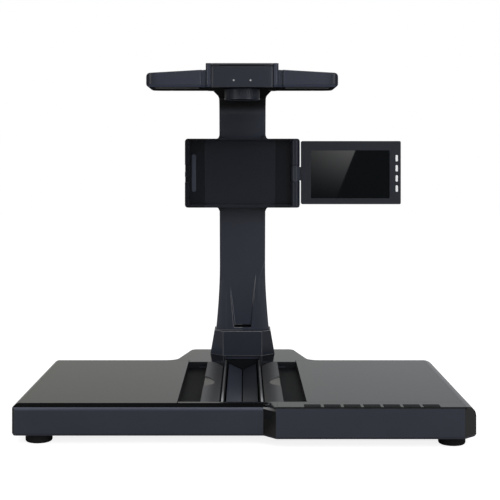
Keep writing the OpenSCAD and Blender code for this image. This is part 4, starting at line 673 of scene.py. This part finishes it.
def world():
    """White to the camera, and even light.

    Reflections see a pale rear, pale front corners, dark sides and a dark top. The spans are
    parts of a direction of length 1.
    """
    scene = bpy.context.scene
    scene.world = bpy.data.worlds.new("studio")
    scene.world.use_nodes = True
    scene.world.cycles.sampling_method = "NONE"
    tree = scene.world.node_tree
    background = tree.nodes["Background"]
    path = tree.nodes.new("ShaderNodeLightPath")
    where = tree.nodes.new("ShaderNodeTexCoord")
    x, y, z = (along(tree, where.outputs["Generated"], axis) for axis in "XYZ")
    rear = blend(tree, rise(tree, x, (-0.4, 0.4)), REAR_LEFT, REAR_RIGHT)
    corners = all_of(tree, fall(tree, y, (-0.5, -0.35)), rise(tree, y, (-0.95, -0.85)))
    front = blend(tree, corners, DARK, FRONT_CORNER)
    round_view = blend(tree, rise(tree, y, (0.55, 0.8)), front, rear)
    sky = blend(tree, rise(tree, z, (0.3, 0.5)), round_view, DARK)
    glossy = blend(tree, path.outputs["Is Glossy Ray"], EVEN_LIGHT, sky)
    seen = math_node(
        tree, "MAXIMUM", path.outputs["Is Camera Ray"], path.outputs["Is Transmission Ray"]
    )
    tree.links.new(blend(tree, seen, glossy, 1.0), background.inputs["Strength"])
    warmth = blend(tree, rise(tree, x, (-0.3, 0.3)), WARM_LEFT, COOL_RIGHT)
    plain = math_node(tree, "SUBTRACT", 1, path.outputs["Is Glossy Ray"])
    tree.links.new(blend(tree, plain, warmth, (1.0, 1.0, 1.0)), background.inputs["Color"])


def lamp(name, at, aim, size, power, diffuse=True, glossy=True):
    """Rectangular area lamp, which may be hidden from diffuse or glossy rays."""
    data = bpy.data.lights.new(name, "AREA")
    data.shape = "RECTANGLE"
    data.size, data.size_y = size
    data.energy = power
    obj = bpy.data.objects.new(name, data)
    obj.location = at
    obj.rotation_euler = (Vector(aim) - Vector(at)).to_track_quat("-Z", "Y").to_euler()
    obj.visible_diffuse, obj.visible_glossy = diffuse, glossy
    bpy.context.scene.collection.objects.link(obj)
    return obj


def lamps():
    """Soft light from above and in front, and lamps that only show as sheen along edges."""
    lamp("top_softbox", at=(0, -0.55, 1.6), aim=(0, 0, 0), size=(2.2, 1.2), power=9)
    lamp(
        "front_fill", at=(0.8, -2.1, 1.1), aim=(0, 0, 0.2), size=(2.0, 1.4), power=30,
        glossy=False,
    )
    lamp(
        "edge_band", at=(0, -1.9, 1.6), aim=(0, 0, 0), size=(2.6, 0.5), power=10, diffuse=False
    )
    for side in (-1, 1):
        lamp(
            f"edge_strip_{side}", at=(side * 1.5, -1.5, 0.5), aim=(0, 0, 0.2), size=(0.3, 1.8),
            power=6, diffuse=False,
        )
        lamp(
            f"edge_kicker_{side}", at=(side * 1.1, 0.45, 1.35), aim=(0, 0, 0), size=(0.6, 0.6),
            power=6, diffuse=False,
        )


def screen_glint():
    """Slanted glow that the display's glass mirrors, strongest at its upper right."""
    obj = lamp(
        "screen_glint", at=(0.2475, -1.65, 0.342), aim=(0.2475, 0, 0.342), size=(0.14, 0.22),
        power=0.24, diffuse=False,
    )
    obj.rotation_euler.rotate_axis("Z", math.radians(-21.8))
    obj.data.use_nodes = True
    tree = obj.data.node_tree
    geometry = tree.nodes.new("ShaderNodeNewGeometry")
    x, z = (along(tree, geometry.outputs["Position"], axis) for axis in "XZ")
    high = math_node(tree, "POWER", rise(tree, z, (0.2, 0.46)), 1.5)
    right = rise(tree, x, (0.12, 0.36), 0.2, 1.0)
    tree.links.new(all_of(tree, high, right), tree.nodes["Emission"].inputs["Strength"])


make_camera()
dress_nodes()
floor()
world()
lamps()
screen_glint()
bpy.context.scene.view_settings.view_transform = "Standard"
